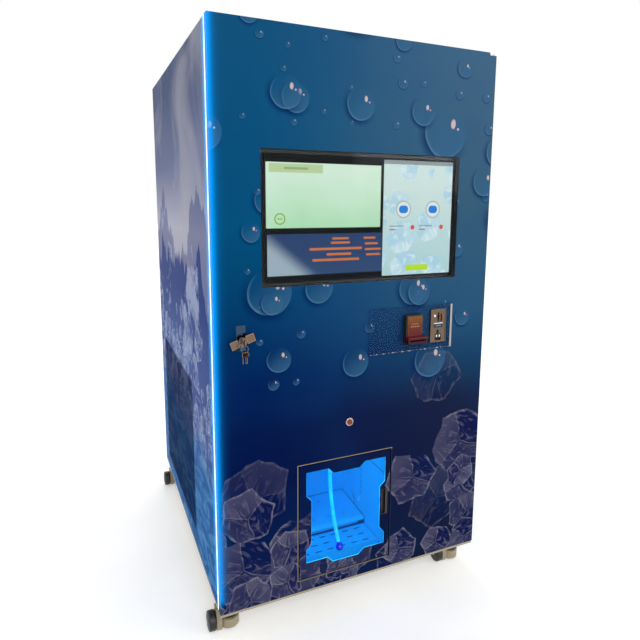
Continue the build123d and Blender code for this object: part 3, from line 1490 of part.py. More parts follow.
# Condenser behind the vent: frame, fins and tubes, with a round shroud for the fan
condenser_x = -inner_side + condenser_side_gap
condenser_y = door_front + condenser_front + condenser_width / 2
condenser_z = floor_top + condenser_height / 2
shroud_x = condenser_x + condenser_thickness
shroud_radius = fan_radius + fan_tip_gap
with BuildPart() as condenser:
    with BuildSketch(Plane.YZ.offset(condenser_x)):
        with Locations((condenser_y, condenser_z)):
            Rectangle(condenser_width, condenser_height)
            Rectangle(
                condenser_width - 2 * condenser_frame, condenser_height - 2 * condenser_frame,
                mode=Mode.SUBTRACT,
            )
            with GridLocations(condenser_width / (condenser_fins + 1), 0, condenser_fins, 1):
                Rectangle(condenser_fin_sheet, condenser_height - condenser_frame)
    extrude(amount=condenser_thickness)
    with BuildSketch(Plane.XZ.offset(-condenser_y + condenser_width / 2)):
        with Locations((condenser_x + condenser_thickness / 2, condenser_z)):
            with GridLocations(0, condenser_height / condenser_tubes, 1, condenser_tubes):
                Circle(condenser_tube_radius)
    extrude(amount=-condenser_width)
    with BuildSketch(Plane.YZ.offset(shroud_x)):
        with Locations((condenser_y, condenser_z)):
            Rectangle(condenser_width, condenser_height)
            Circle(shroud_radius, mode=Mode.SUBTRACT)
    extrude(amount=shroud_wall)
    with BuildSketch(Plane.YZ.offset(shroud_x)):
        with Locations((condenser_y, condenser_z)):
            Circle(shroud_radius + shroud_wall)
            Circle(shroud_radius, mode=Mode.SUBTRACT)
    extrude(amount=shroud_depth)
condenser.part.label = "condenser"
export_step(condenser.part, "parts/condenser.step")

# Fan: pitched blades lofted from root to tip on a domed hub, with its shaft
fan_middle_x = shroud_x + shroud_depth / 2
hub_end = fan_middle_x + fan_hub_length / 2
with BuildPart() as condenser_fan:
    with BuildSketch(Plane.YZ.offset(hub_end)):
        with Locations((condenser_y, condenser_z)):
            Circle(fan_hub_radius)
    extrude(amount=-fan_hub_length)
    fillet(condenser_fan.faces().sort_by(Axis.X)[0].edges(), radius=fan_hub_length / 4)
    for blade in range(fan_blades):
        turn = 2 * pi * blade / fan_blades
        out = Vector(0, cos(turn), sin(turn))
        around = Vector(0, -sin(turn), cos(turn))
        for reach, chord, pitch in (
            (fan_hub_radius * fan_root_share, fan_blade_root, fan_root_pitch),
            (fan_radius, fan_blade_tip, fan_tip_pitch),
        ):
            way = around * cos(radians(pitch)) + Vector(1, 0, 0) * sin(radians(pitch))
            centre = Vector(fan_middle_x, condenser_y, condenser_z) + out * reach
            with BuildSketch(Plane(origin=centre, x_dir=way, z_dir=out)):
                Rectangle(chord, fan_blade_sheet)
        loft(ruled=True)
    with BuildSketch(Plane.YZ.offset(hub_end)):
        with Locations((condenser_y, condenser_z)):
            Circle(fan_shaft_radius)
    extrude(amount=fan_motor_gap + fan_motor_length / 2)
condenser_fan.part.label = "condenser_fan"
export_step(condenser_fan.part, "parts/condenser_fan.step")

# Fan motor on its stand
motor_x = hub_end + fan_motor_gap
with BuildPart() as fan_motor:
    with BuildSketch(Plane.YZ.offset(motor_x)):
        with Locations((condenser_y, condenser_z)):
            Circle(fan_motor_radius)
    extrude(amount=fan_motor_length)
    fillet(fan_motor.faces().sort_by(Axis.X)[-1].edges(), radius=fan_motor_gap)
    with BuildSketch(Plane.YZ.offset(motor_x + fan_motor_length / 2)):
        with Locations((condenser_y, (floor_top + condenser_z) / 2)):
            Rectangle(stand_width, condenser_z - floor_top)
    extrude(amount=stand_sheet)
    with BuildSketch(Plane.XY.offset(floor_top)):
        with Locations((motor_x + fan_motor_length / 2, condenser_y)):
            Rectangle(fan_motor_length, stand_width)
    extrude(amount=stand_sheet)
    with BuildSketch(Plane.YZ.offset(motor_x)):
        with Locations((condenser_y, condenser_z)):
            Circle(fan_shaft_radius + shaft_gap)
    extrude(amount=fan_motor_length / 2 + fan_motor_gap, mode=Mode.SUBTRACT)
fan_motor.part.label = "fan_motor"
export_step(fan_motor.part, "parts/fan_motor.step")

# Water inlet: a bored spigot with a hexagon, held by a nut inside the rear panel
with BuildPart() as water_inlet:
    with BuildSketch(Plane.XZ.offset(-frame_rear + inlet_hex_length)):
        with Locations((inlet_x, base + inlet_z)):
            Circle(inlet_radius)
    extrude(amount=-(inlet_length + panel_sheet + inlet_hex_length))
    with BuildSketch(Plane.XZ.offset(-rear)):
        with Locations((inlet_x, base + inlet_z)):
            RegularPolygon(inlet_hex_radius, 6)
    extrude(amount=-inlet_hex_length)
    with BuildSketch(Plane.XZ.offset(-frame_rear)):
        with Locations((inlet_x, base + inlet_z)):
            RegularPolygon(inlet_hex_radius, 6)
    extrude(amount=inlet_hex_length)
    with BuildSketch(Plane.XZ.offset(-rear - inlet_length)):
        with Locations((inlet_x, base + inlet_z)):
            Circle(inlet_bore)
    extrude(amount=inlet_length + panel_sheet + inlet_hex_length, mode=Mode.SUBTRACT)
water_inlet.part.label = "water_inlet"
export_step(water_inlet.part, "parts/water_inlet.step")

# Cable gland: dome nut outside, lock nut inside, empty bore
with BuildPart() as cable_gland:
    with BuildSketch(Plane.XZ.offset(-frame_rear + cable_gland_nut)):
        with Locations((gland_x, base + gland_z)):
            Circle(cable_gland_radius)
    extrude(amount=-(cable_gland_length + panel_sheet + cable_gland_nut))
    fillet(cable_gland.faces().sort_by(Axis.Y)[-1].edges(), radius=(cable_gland_radius - cable_bore) / 2)
    with BuildSketch(Plane.XZ.offset(-rear)):
        with Locations((gland_x, base + gland_z)):
            RegularPolygon(cable_gland_radius + cable_nut_rim, 6)
    extrude(amount=-cable_gland_nut)
    with BuildSketch(Plane.XZ.offset(-frame_rear)):
        with Locations((gland_x, base + gland_z)):
            RegularPolygon(cable_gland_radius + cable_nut_rim, 6)
    extrude(amount=cable_gland_nut)
    with BuildSketch(Plane.XZ.offset(-rear - cable_gland_length)):
        with Locations((gland_x, base + gland_z)):
            Circle(cable_bore)
    extrude(amount=cable_gland_length + panel_sheet + cable_gland_nut, mode=Mode.SUBTRACT)
cable_gland.part.label = "cable_gland"
export_step(cable_gland.part, "parts/cable_gland.step")

# Control box on two rails of the door, with a lid that overhangs it
control_front = door_back + control_depth
with BuildPart() as control_box:
    with BuildSketch(Plane.XZ.offset(-control_front)):
        with Locations((control_left + control_width / 2, (control_low + control_high) / 2)):
            RectangleRounded(control_width, control_height, control_fillet)
    extrude(amount=control_depth)
    chamfer(control_box.faces().sort_by(Axis.Y)[-1].edges(), length=control_fillet / 2)
control_box.part.label = "control_box"
export_step(control_box.part, "parts/control_box.step")

# Where the casters stand and which way their wheels trail
plate_z = base - caster_plate_thickness
race_z = plate_z - race_height
bolt_pitch = caster_plate - 2 * caster_bolt_inset
caster_spots = [
    ("front_left", -side + caster_inset_x, door_front + caster_inset_y, -1),
    ("front_right", side - caster_inset_x, door_front + caster_inset_y, -1),
    ("rear_left", -side + caster_inset_x, rear - caster_inset_y, -1),
    ("rear_right", side - caster_inset_x, rear - caster_inset_y, 1),
]

# Top plates, swivel races and king pins, bolted under the base
with BuildPart() as caster_plates:
    for name, spot_x, spot_y, trail in caster_spots:
        with BuildSketch(Plane.XY.offset(base)):
            with Locations((spot_x, spot_y)):
                RectangleRounded(caster_plate, caster_plate, caster_plate_corner)
                with GridLocations(bolt_pitch, bolt_pitch, 2, 2):
                    Circle(caster_bolt_radius, mode=Mode.SUBTRACT)
        extrude(amount=-caster_plate_thickness)
        with BuildSketch(Plane.XY.offset(plate_z)):
            with Locations((spot_x, spot_y)):
                Circle(race_radius)
        extrude(amount=-race_height)
        with BuildSketch(Plane.XY.offset(race_z)):
            with Locations((spot_x, spot_y)):
                Circle(kingpin_radius)
        extrude(amount=-kingpin_length)
caster_plates.part.label = "caster_plates"
export_step(caster_plates.part, "parts/caster_plates.step")

# Each caster has a cast housing with the wheel on its cheek, and a foot that screws down through its drum
foot_bottom = foot_gap
ring_bottom = foot_bottom + foot_pad
ring_top = ring_bottom + foot_ring_height
axle_length = wheel_side_gap + wheel_width + wheel_side_gap / 2
for name, spot_x, spot_y, trail in caster_spots:
    cheek_x = spot_x + trail * cheek_offset
    with BuildPart() as housing:
        with BuildSketch(Plane.XY.offset(drum_bottom)):
            with Locations((spot_x, spot_y)):
                Circle(drum_radius)
        extrude(amount=drum_height)
        with BuildSketch(Plane.XY.offset(drum_bottom)):
            with Locations((spot_x, spot_y)):
                Circle(collar_radius)
        extrude(amount=race_z - drum_bottom)
        with BuildSketch(Plane.XY.offset(race_z)):
            with Locations(((spot_x + cheek_x) / 2, spot_y)):
                Rectangle(cheek_offset, 2 * cheek_top)
        extrude(amount=-arm_height)
        with BuildSketch(Plane.YZ.offset(cheek_x)):
            with BuildLine():
                Polyline(
                    (spot_y - cheek_foot, cheek_bottom),
                    (spot_y + cheek_foot, cheek_bottom),
                    (spot_y + cheek_half, wheel_radius),
                    (spot_y + cheek_top, race_z),
                    (spot_y - cheek_top, race_z),
                    (spot_y - cheek_half, wheel_radius),
                    close=True,
                )
            make_face()
        extrude(amount=-trail * cheek_thickness)
        with BuildSketch(Plane.YZ.offset(cheek_x)):
            with Locations((spot_y, wheel_radius)):
                Circle(axle_radius)
        extrude(amount=trail * axle_length)
        with BuildSketch(Plane.YZ.offset(cheek_x + trail * axle_length)):
            with Locations((spot_y, wheel_radius)):
                Circle(axle_cap_radius)
        extrude(amount=trail * axle_cap)
        with BuildSketch(Plane.XY.offset(race_z)):
            with Locations((spot_x, spot_y)):
                Circle(kingpin_radius + shaft_gap)
        extrude(amount=-kingpin_length - seat_gap, mode=Mode.SUBTRACT)
        with BuildSketch(Plane.XY.offset(drum_bottom)):
            with Locations((spot_x, spot_y)):
                Circle(foot_stem_radius + shaft_gap)
        extrude(amount=ring_top + foot_stem_rise + seat_gap - drum_bottom, mode=Mode.SUBTRACT)
    housing.part.label = f"caster_{name}_housing"
    export_step(housing.part, f"parts/caster_{name}_housing.step")

    with BuildPart() as wheel:
        with BuildSketch(Plane.YZ.offset(cheek_x + trail * wheel_side_gap)):
            with Locations((spot_y, wheel_radius)):
                Circle(wheel_radius)
                Circle(axle_radius + shaft_gap, mode=Mode.SUBTRACT)
        extrude(amount=trail * wheel_width)
        tread = wheel.edges().filter_by(GeomType.CIRCLE).group_by(SortBy.RADIUS)[-1]
        fillet(tread, radius=wheel_shoulder)
    wheel.part.label = f"caster_{name}_wheel"
    export_step(wheel.part, f"parts/caster_{name}_wheel.step")

    with BuildPart() as foot:
        with BuildSketch(Plane.XY.offset(foot_bottom)):
            with Locations((spot_x, spot_y)):
                Circle(foot_radius)
        extrude(amount=foot_pad)
        chamfer(foot.faces().sort_by(Axis.Z)[0].edges(), length=foot_pad / 4)
        with BuildSketch(Plane.XY.offset(ring_bottom)):
            with Locations((spot_x, spot_y)):
                Circle(foot_ring_radius)
        extrude(amount=foot_ring_height)
        with BuildSketch(Plane.XY.offset(ring_top)):
            with Locations((spot_x, spot_y)):
                Circle(foot_stem_radius)
        extrude(amount=foot_stem_rise)
    foot.part.label = f"caster_{name}_foot"
    export_step(foot.part, f"parts/caster_{name}_foot.step")
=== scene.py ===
import json
import math

import bpy
from mathutils import Matrix, Vector


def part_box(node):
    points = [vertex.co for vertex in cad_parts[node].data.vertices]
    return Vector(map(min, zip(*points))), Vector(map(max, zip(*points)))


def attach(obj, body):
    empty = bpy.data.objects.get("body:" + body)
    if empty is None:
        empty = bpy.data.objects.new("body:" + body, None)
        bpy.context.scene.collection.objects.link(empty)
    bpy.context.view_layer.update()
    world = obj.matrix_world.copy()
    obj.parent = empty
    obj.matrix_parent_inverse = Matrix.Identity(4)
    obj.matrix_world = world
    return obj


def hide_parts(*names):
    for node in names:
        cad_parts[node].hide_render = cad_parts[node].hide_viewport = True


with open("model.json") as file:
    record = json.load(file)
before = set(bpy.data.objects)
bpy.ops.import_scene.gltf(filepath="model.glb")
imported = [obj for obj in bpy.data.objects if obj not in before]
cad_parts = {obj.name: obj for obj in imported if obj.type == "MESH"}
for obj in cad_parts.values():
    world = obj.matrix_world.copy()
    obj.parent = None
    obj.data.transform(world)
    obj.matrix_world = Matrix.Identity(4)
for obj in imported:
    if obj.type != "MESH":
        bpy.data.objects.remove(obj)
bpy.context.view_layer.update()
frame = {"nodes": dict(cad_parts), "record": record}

nodes = frame["nodes"]
print("frame loaded,", len(nodes), "CAD nodes")


# colours are written as hex and turned to linear light here
def paint(code, alpha=1.0):
    parts = [int(code[i:i + 2], 16) / 255 for i in (1, 3, 5)]
    linear = [c / 12.92 if c <= 0.04045 else ((c + 0.055) / 1.055) ** 2.4 for c in parts]
    return (*linear, alpha)


def addObject(name, data):
    obj = bpy.data.objects.new(name, data)
    bpy.context.scene.collection.objects.link(obj)
    return obj


# camera at the photograph's viewpoint
camera = {"place": (-0.8645, -2.2614, 1.4838), "yaw": 0.4286, "pitch": -0.1547, "roll": 0.0094,
          "lens": 31.12, "shiftX": -0.0226, "shiftY": -0.0546}


def placeCamera():
    data = bpy.data.cameras.new("camera")
    data.lens = camera["lens"]
    data.sensor_width = 36
    data.shift_x = camera["shiftX"]
    data.shift_y = camera["shiftY"]
    data.clip_end = 60
    obj = addObject("camera", data)
    yaw, pitch, roll = camera["yaw"], camera["pitch"], camera["roll"]
    ahead = Vector((math.sin(yaw) * math.cos(pitch), math.cos(yaw) * math.cos(pitch), math.sin(pitch)))
    turn = ahead.to_track_quat("-Z", "Y").to_matrix().to_4x4()
    obj.matrix_world = turn @ turn.Rotation(roll, 4, "Z")
    obj.location = camera["place"]
    bpy.context.scene.camera = obj


placeCamera()
bpy.context.scene.view_settings.view_transform = "Standard"


# node shorthand: nodes are added to the tree that is being built
current = {"tree": None}


def feed(node, values):  # a socket is linked, anything else is set
    for key, value in values.items():
        if isinstance(value, bpy.types.NodeSocket):
            current["tree"].links.new(value, node.inputs[key])
        else:
            node.inputs[key].default_value = value


def put(kind, inputs=None, **settings):
    node = current["tree"].nodes.new("ShaderNode" + kind)
    for name, value in settings.items():
        setattr(node, name, value)
    feed(node, inputs or {})
    return node


def calc(operation, *values, clamp=False):
    return put("Math", dict(enumerate(values)), operation=operation, use_clamp=clamp).outputs[0]


def shortCalc(operation):
    return lambda *values, clamp=False: calc(operation, *values, clamp=clamp)


times, plus, minus, over = (shortCalc(name) for name in ("MULTIPLY", "ADD", "SUBTRACT", "DIVIDE"))
larger, smaller, above, under = (shortCalc(name) for name in ("MAXIMUM", "MINIMUM", "GREATER_THAN", "LESS_THAN"))


def vec(operation, *values):
    node = put("VectorMath", dict(enumerate(values)), operation=operation)
    return node.outputs["Value" if operation in ("LENGTH", "DOT_PRODUCT") else "Vector"]


def axes(vector):
    return put("SeparateXYZ", {0: vector}).outputs


def toVector(x=0.0, y=0.0, z=0.0):
    return put("CombineXYZ", {0: x, 1: y, 2: z}).outputs[0]


def mottle(vector, scale, detail=2.0, flat=False, output=0, **more):  # noise pattern
    inputs = {"Vector": vector, "Scale": scale, "Detail": detail} | more
    return put("TexNoise", inputs, noise_dimensions="2D" if flat else "3D").outputs[output]


def bump(height, strength, distance):
    return put("Bump", {"Height": height, "Strength": strength, "Distance": distance}).outputs[0]


def rayMask(*kinds):  # 1 for the kinds of ray named
    path = put("LightPath").outputs
    mask = path[kinds[0]]
    for kind in kinds[1:]:
        mask = larger(mask, path[kind])
    return mask


def ease(value, low, high, start=0.0, end=1.0):
    inputs = {"Value": value, "From Min": low, "From Max": high, "To Min": start, "To Max": end}
    return put("MapRange", inputs, interpolation_type="SMOOTHSTEP").outputs[0]


def blend(factor, a, b, mode="MIX"):  # a colour is a socket, a hex code or four numbers
    a, b = (paint(colour) if isinstance(colour, str) else colour for colour in (a, b))
    return put("Mix", {0: factor, 6: a, 7: b}, data_type="RGBA", blend_type=mode).outputs[2]


def ramp(value, stops):
    node = put("ValToRGB", {0: value})
    elements = node.color_ramp.elements
    elements[0].position, elements[0].color = stops[0][0], paint(stops[0][1])
    elements[1].position, elements[1].color = stops[-1][0], paint(stops[-1][1])
    for place, code in stops[1:-1]:
        elements.new(place).color = paint(code)
    return node.outputs[0]


def newGroup(name, inputs, outputs):  # outputs and all inputs but Vector are plain numbers
    group = bpy.data.node_groups.new(name, "ShaderNodeTree")
    group.interface.new_socket("Vector", in_out="INPUT", socket_type="NodeSocketVector")
    for label, value in inputs.items():
        group.interface.new_socket(label, in_out="INPUT", socket_type="NodeSocketFloat").default_value = value
    for label in outputs:
        group.interface.new_socket(label, in_out="OUTPUT", socket_type="NodeSocketFloat")
    current["tree"] = group
    return group, group.nodes.new("NodeGroupInput").outputs, group.nodes.new("NodeGroupOutput")


def useGroup(group, inputs):
    node = put("Group", node_tree=group)
    feed(node, inputs)
    return node.outputs


def newMaterial(name, **sockets):
    material = bpy.data.materials.new(name)
    material.use_nodes = True
    current["tree"] = material.node_tree
    current["tree"].nodes.clear()
    shader = put("BsdfPrincipled")
    put("OutputMaterial", {0: shader.outputs[0]})
    feed(shader, sockets)
    return material, shader, put("TexCoord").outputs["Object"]


# shared effects
def makeGrain():  # fine uneven gloss and tiny bumps, as on powder coat, moulded plastic and rubber
    group, ins, outs = newGroup("surfaceGrain", {"Scale": 900.0, "Smooth": 0.4, "Spread": 0.1},
                                ("Roughness", "Height", "Tone"))
    fine = mottle(ins["Vector"], ins["Scale"])
    broad = mottle(ins["Vector"], 6.0, 3.0)
    swing = times(minus(broad, 0.5), ins["Spread"])
    feed(outs, {"Roughness": plus(ins["Smooth"], swing, clamp=True), "Height": fine,
                "Tone": ease(broad, 0.35, 0.65, 0.94, 1.0)})
    return group


def makeBrushed():  # long fine lines of rolled or brushed sheet, along X
    group, ins, outs = newGroup("brushedSheet", {"Smooth": 0.3, "Spread": 0.25}, ("Roughness", "Height", "Tone"))
    lined = vec("MULTIPLY", ins["Vector"], (6.0, 260.0, 260.0))
    lines = mottle(lined, 5.0, 3.0)
    broad = mottle(ins["Vector"], 9.0)
    swing = times(minus(lines, 0.5), ins["Spread"])
    feed(outs, {"Roughness": plus(ins["Smooth"], swing, clamp=True), "Height": lines,
                "Tone": times(ease(lines, 0.3, 0.7, 0.9, 1.0), ease(broad, 0.3, 0.7, 0.92, 1.0))})
    return group


def makeDrops():  # flat printed water drops, each with its shadow, dark rim and glint
    group, ins, outs = newGroup("waterDrops", {"Scale": 4.0, "Least": 0.02, "Most": 0.07, "Amount": 0.6, "Floor": 0.9,
                                               "Shift": 0.0}, ("Inside", "Shade", "Shadow", "Glint", "Rim"))
    shift = toVector(ins["Shift"], ins["Shift"])
    moved = vec("ADD", ins["Vector"], shift)
    wobble = mottle(moved, 9.0, 1.0, flat=True, output=1)
    wobble = vec("MULTIPLY", vec("SUBTRACT", wobble, (0.5, 0.5, 0.5)), (0.009, 0.009, 0.0))
    here = vec("ADD", moved, wobble)
    cell = {"Vector": here, "Scale": ins["Scale"], "Randomness": 0.85}
    nearest = put("TexVoronoi", cell, voronoi_dimensions="2D", feature="F1").outputs
    room = put("TexVoronoi", cell, voronoi_dimensions="2D", feature="N_SPHERE_RADIUS").outputs["Radius"]
    away = vec("SUBTRACT", here, nearest["Position"])
    dist = vec("LENGTH", away)
    chance = put("SeparateColor", {0: nearest["Color"]}).outputs
    wanted = ease(calc("POWER", chance[0], 1.6), 0.0, 1.0, ins["Least"], ins["Most"])
    radius = smaller(wanted, times(over(room, ins["Scale"]), 0.9))
    height = axes(vec("SUBTRACT", nearest["Position"], shift))[1]
    thick = times(ins["Amount"], ease(minus(height, ins["Floor"]), 0.0, 0.3))
    present = under(chance[1], thick)
    q = over(dist, radius)
    inside = times(ease(q, 1.0, 0.965), present)
    way = over(vec("DOT_PRODUCT", away, (-0.62, -0.78, 0.0)), larger(dist, 0.0001))
    way = plus(times(way, 0.75), 0.3, clamp=True)
    outside = times(ease(q, 1.42, 0.96), minus(present, inside))
    rim = times(ease(q, 0.86, 0.95), inside)
    tilt = over(vec("DOT_PRODUCT", away, (0.55, -0.83, 0.0)), radius)
    spread = toVector(radius, radius)
    spot = vec("SUBTRACT", away, vec("MULTIPLY", spread, (0.35, 0.35, 0.0)))
    spot = over(vec("LENGTH", vec("MULTIPLY", spot, (1.0, 0.62, 1.0))), radius)
    second = vec("SUBTRACT", away, vec("MULTIPLY", spread, (0.6, 0.17, 0.0)))
    second = over(vec("LENGTH", second), radius)
    glint = larger(ease(spot, 0.14, 0.08), ease(second, 0.065, 0.04))
    feed(outs, {"Inside": inside, "Shade": ease(tilt, -1.0, 1.0), "Shadow": times(outside, way),
                "Glint": times(glint, present), "Rim": times(rim, way)})
    return group


def makeBlocks():  # printed ice blocks: three-sided views of cubes, each turned its own way
    group, ins, outs = newGroup("iceBlocks", {"Scale": 5.0, "Amount": 0.7, "Ceiling": 0.7, "Shift": 0.0},
                                ("Inside", "Tone", "Line"))
    shift = toVector(ins["Shift"], ins["Shift"])
    moved = vec("ADD", ins["Vector"], shift)
    warp = mottle(moved, 7.0, flat=True, output=1)
    here = vec("ADD", moved, vec("MULTIPLY", vec("SUBTRACT", warp, (0.5, 0.5, 0.5)), (0.05, 0.05, 0.0)))
    cell = {"Vector": here, "Scale": ins["Scale"], "Randomness": 0.7}
    nearest = put("TexVoronoi", cell, voronoi_dimensions="2D", feature="F1").outputs
    room = put("TexVoronoi", cell, voronoi_dimensions="2D", feature="N_SPHERE_RADIUS").outputs["Radius"]
    chance = put("SeparateColor", {0: nearest["Color"]}).outputs
    away = vec("SUBTRACT", here, nearest["Position"])
    away = put("VectorRotate", {"Vector": away, "Angle": times(chance[0], 6.28)}, rotation_type="Z_AXIS").outputs[0]
    half = over(room, ins["Scale"])
    half = times(half, ease(chance[2], 0.0, 1.0, 0.8, 1.25))
    turns = (0.0, math.tau / 3, 2 * math.tau / 3)
    sides = [vec("DOT_PRODUCT", away, (math.cos(turn), math.sin(turn), 0.0)) for turn in turns]
    flats = [calc("ABSOLUTE", s) for s in sides]
    reach = larger(larger(flats[0], flats[1]), flats[2])
    top = larger(larger(sides[0], sides[1]), sides[2])
    low = smaller(smaller(sides[0], sides[1]), sides[2])
    middle = times(plus(top, low), -1.0)
    height = axes(vec("SUBTRACT", nearest["Position"], shift))[1]
    thick = times(ins["Amount"], ease(minus(ins["Ceiling"], height), 0.0, 0.35))
    present = under(chance[1], thick)
    q = over(reach, half)
    inside = times(ease(q, 1.0, 0.96), present)
    first, second = (calc("COMPARE", side, top, 0.00001) for side in sides[:2])
    faces = plus(times(first, 0.55), times(second, 0.25))
    streak = mottle(vec("MULTIPLY", away, (7.0, 19.0, 1.0)), 1.5, 3.0, flat=True, Distortion=2.2)
    tone = plus(times(faces, ease(q, 0.0, 1.0, 0.35, 1.1)), ease(streak, 0.5, 0.72, 0.0, 0.75), clamp=True)
    line = larger(ease(minus(top, middle), 0.005, 0.0, 0.0, 0.7), ease(q, 0.88, 0.99))
    feed(outs, {"Inside": inside, "Tone": tone, "Line": times(line, ease(streak, 0.35, 0.6, 0.25, 1.0))})
    return group


def makeBar():  # a soft-cornered bar or disc in the plane of the face: 1 inside
    group, ins, outs = newGroup("flatShape", {"Across": 0.0, "Up": 0.0, "Half Width": 0.05, "Half Height": 0.01,
                                              "Corner": 0.002}, ("Mask",))
    centre = toVector(ins["Across"], 0.0, ins["Up"])
    flat = vec("MULTIPLY", vec("SUBTRACT", ins["Vector"], centre), (1.0, 0.0, 1.0))
    room = toVector(minus(ins["Half Width"], ins["Corner"]), 0.0, minus(ins["Half Height"], ins["Corner"]))
    beyond = vec("MAXIMUM", vec("SUBTRACT", vec("ABSOLUTE", flat), room), (0.0, 0.0, 0.0))
    feed(outs, {"Mask": ease(minus(vec("LENGTH", beyond), ins["Corner"]), 0.0006, -0.0006)})
    return group


grain, brushed, waterDrops, iceBlocks, flatShape = makeGrain(), makeBrushed(), makeDrops(), makeBlocks(), makeBar()
print("shared effects made")


def addTube(name, kind, places, radius, resolution):  # a round wire or hose along points
    curve = bpy.data.curves.new(name, "CURVE")
    curve.dimensions = "3D"
    curve.bevel_depth = radius
    curve.bevel_resolution = resolution
    spline = curve.splines.new(kind)
    spline.points.add(len(places) - 1)
    for point, place in zip(spline.points, places):
        point.co = (*place, 1)
    return addObject(name, curve), spline


# drinks hose: gland in the compartment's ceiling down to the ball on its end
hose = {"route": [(-0.060, -0.4725, 0.551), (-0.060, -0.4725, 0.505), (-0.060, -0.4745, 0.462),
                  (-0.060, -0.4795, 0.405), (-0.060, -0.4905, 0.361), (-0.060, -0.5065, 0.313),
                  (-0.060, -0.5285, 0.269), (-0.060, -0.5575, 0.226)],
        "diameter": 0.014, "length": 0.343, "colour": "#08e0ff"}


def makeHose():
    obj, spline = addTube("drinksHose", "NURBS", hose["route"], hose["diameter"] / 2, 5)
    obj.data.use_fill_caps = True
    spline.use_endpoint_u = True
    spline.order_u = 3
    spline.resolution_u = 12
    material, shader, place = newMaterial("hoseSilicone", **{"Transmission Weight": 0.15, "IOR": 1.41})
    noise = mottle(place, 70.0)
    tone = blend(ease(noise, 0.3, 0.7), "#00c0f6", hose["colour"])
    # painted light: the hose glows with the compartment lamp's light
    feed(shader, {"Base Color": tone, "Emission Color": tone, "Emission Strength": 0.6,
                  "Roughness": ease(noise, 0.3, 0.7, 0.28, 0.4)})
    obj.data.materials.append(material)
    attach(obj, "cabinet")
    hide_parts("drink_hose")


makeHose()
print("hose hung")


# finishes of plain painted, plated and moulded parts: colour, metal, gloss, its spread, grain size, bump, coat
plainFinishes = {
    "cream_paint": ("#aba18a", 0, 0.34, 0.12, 700, 0.04, 0.3),
    "pale_paint": ("#d6d9dc", 0, 0.42, 0.12, 800, 0.05, 0.1),
    "gasket_rubber": ("#1b1b1d", 0, 0.7, 0.15, 500, 0.08, 0),
    "dark_plastic": ("#191a1e", 0, 0.42, 0.15, 1500, 0.06, 0),
    "black_plastic": ("#101114", 0, 0.4, 0.15, 1500, 0.05, 0),
    "blue_plastic": ("#0a1cf0", 0, 0.16, 0.1, 600, 0.02, 0.6),
    "bin_plastic": ("#d3dade", 0, 0.5, 0.12, 600, 0.06, 0),
    "motor_paint": ("#3a4654", 0, 0.38, 0.15, 500, 0.08, 0.2),
    "black_enamel": ("#0e0f11", 0, 0.25, 0.12, 300, 0.05, 0.5),
    "fan_plastic": ("#17181b", 0, 0.45, 0.15, 900, 0.05, 0),
    "caster_paint": ("#a3967a", 0, 0.42, 0.2, 260, 0.14, 0.15),
    "wheel_nylon": ("#121214", 0, 0.4, 0.2, 500, 0.06, 0),
    "foot_rubber": ("#17171a", 0, 0.62, 0.15, 450, 0.09, 0),
    "red_button": ("#7d0c16", 0, 0.35, 0.12, 600, 0.02, 0.05),
    "nickel": ("#7d7066", 1, 0.24, 0.16, 500, 0.03, 0),
    # painted reflection: the lock plate's steel is made dark and bluish
    "lock_steel": ("#33465c", 1, 0.16, 0.1, 300, 0.02, 0),
    "ring_chrome": ("#a59c90", 1, 0.16, 0.1, 300, 0.01, 0),
    "white_chrome": ("#dcdcde", 1, 0.12, 0.1, 300, 0.01, 0),
    "bright_chrome": ("#6c5c4e", 1, 0.2, 0.1, 200, 0.012, 0),
    "inlet_brass": ("#c79f4f", 1, 0.26, 0.2, 400, 0.03, 0),
}
metalFinishes = {  # rolled, brushed or plated sheet: colour, gloss, its spread, bump
    "galvanised_steel": ("#a3a8ac", 0.42, 0.3, 0.02),
    "zinc_steel": ("#a9a9ae", 0.3, 0.25, 0.02),
    "satin_steel": ("#b4b8bc", 0.3, 0.2, 0.015),
    "fin_aluminium": ("#c2c5ca", 0.32, 0.2, 0.015),
}


def texturedMaterial(name, pattern, code, lift, settings, **sockets):
    material, shader, place = newMaterial(name, **sockets)
    texture = useGroup(pattern, {"Vector": place} | settings)
    feed(shader, {"Base Color": blend(1.0, code, texture["Tone"], "MULTIPLY"), "Roughness": texture["Roughness"],
                  "Normal": bump(texture["Height"], lift, 0.001)})
    return material


def plainMaterial(name, code, metal, gloss, spread, size, lift, coat):
    settings = {"Scale": size, "Smooth": gloss, "Spread": spread}
    return texturedMaterial(name, grain, code, lift, settings, **{"Metallic": float(metal), "Coat Weight": coat})


def sheetMaterial(name, code, gloss, spread, lift):
    return texturedMaterial(name, brushed, code, lift, {"Smooth": gloss, "Spread": spread}, Metallic=1.0)


finish = {slot: plainMaterial(slot.title().replace("_", ""), *facts) for slot, facts in plainFinishes.items()}
finish |= {slot: sheetMaterial(slot.title().replace("_", ""), *facts) for slot, facts in metalFinishes.items()}
print("plain finishes made")


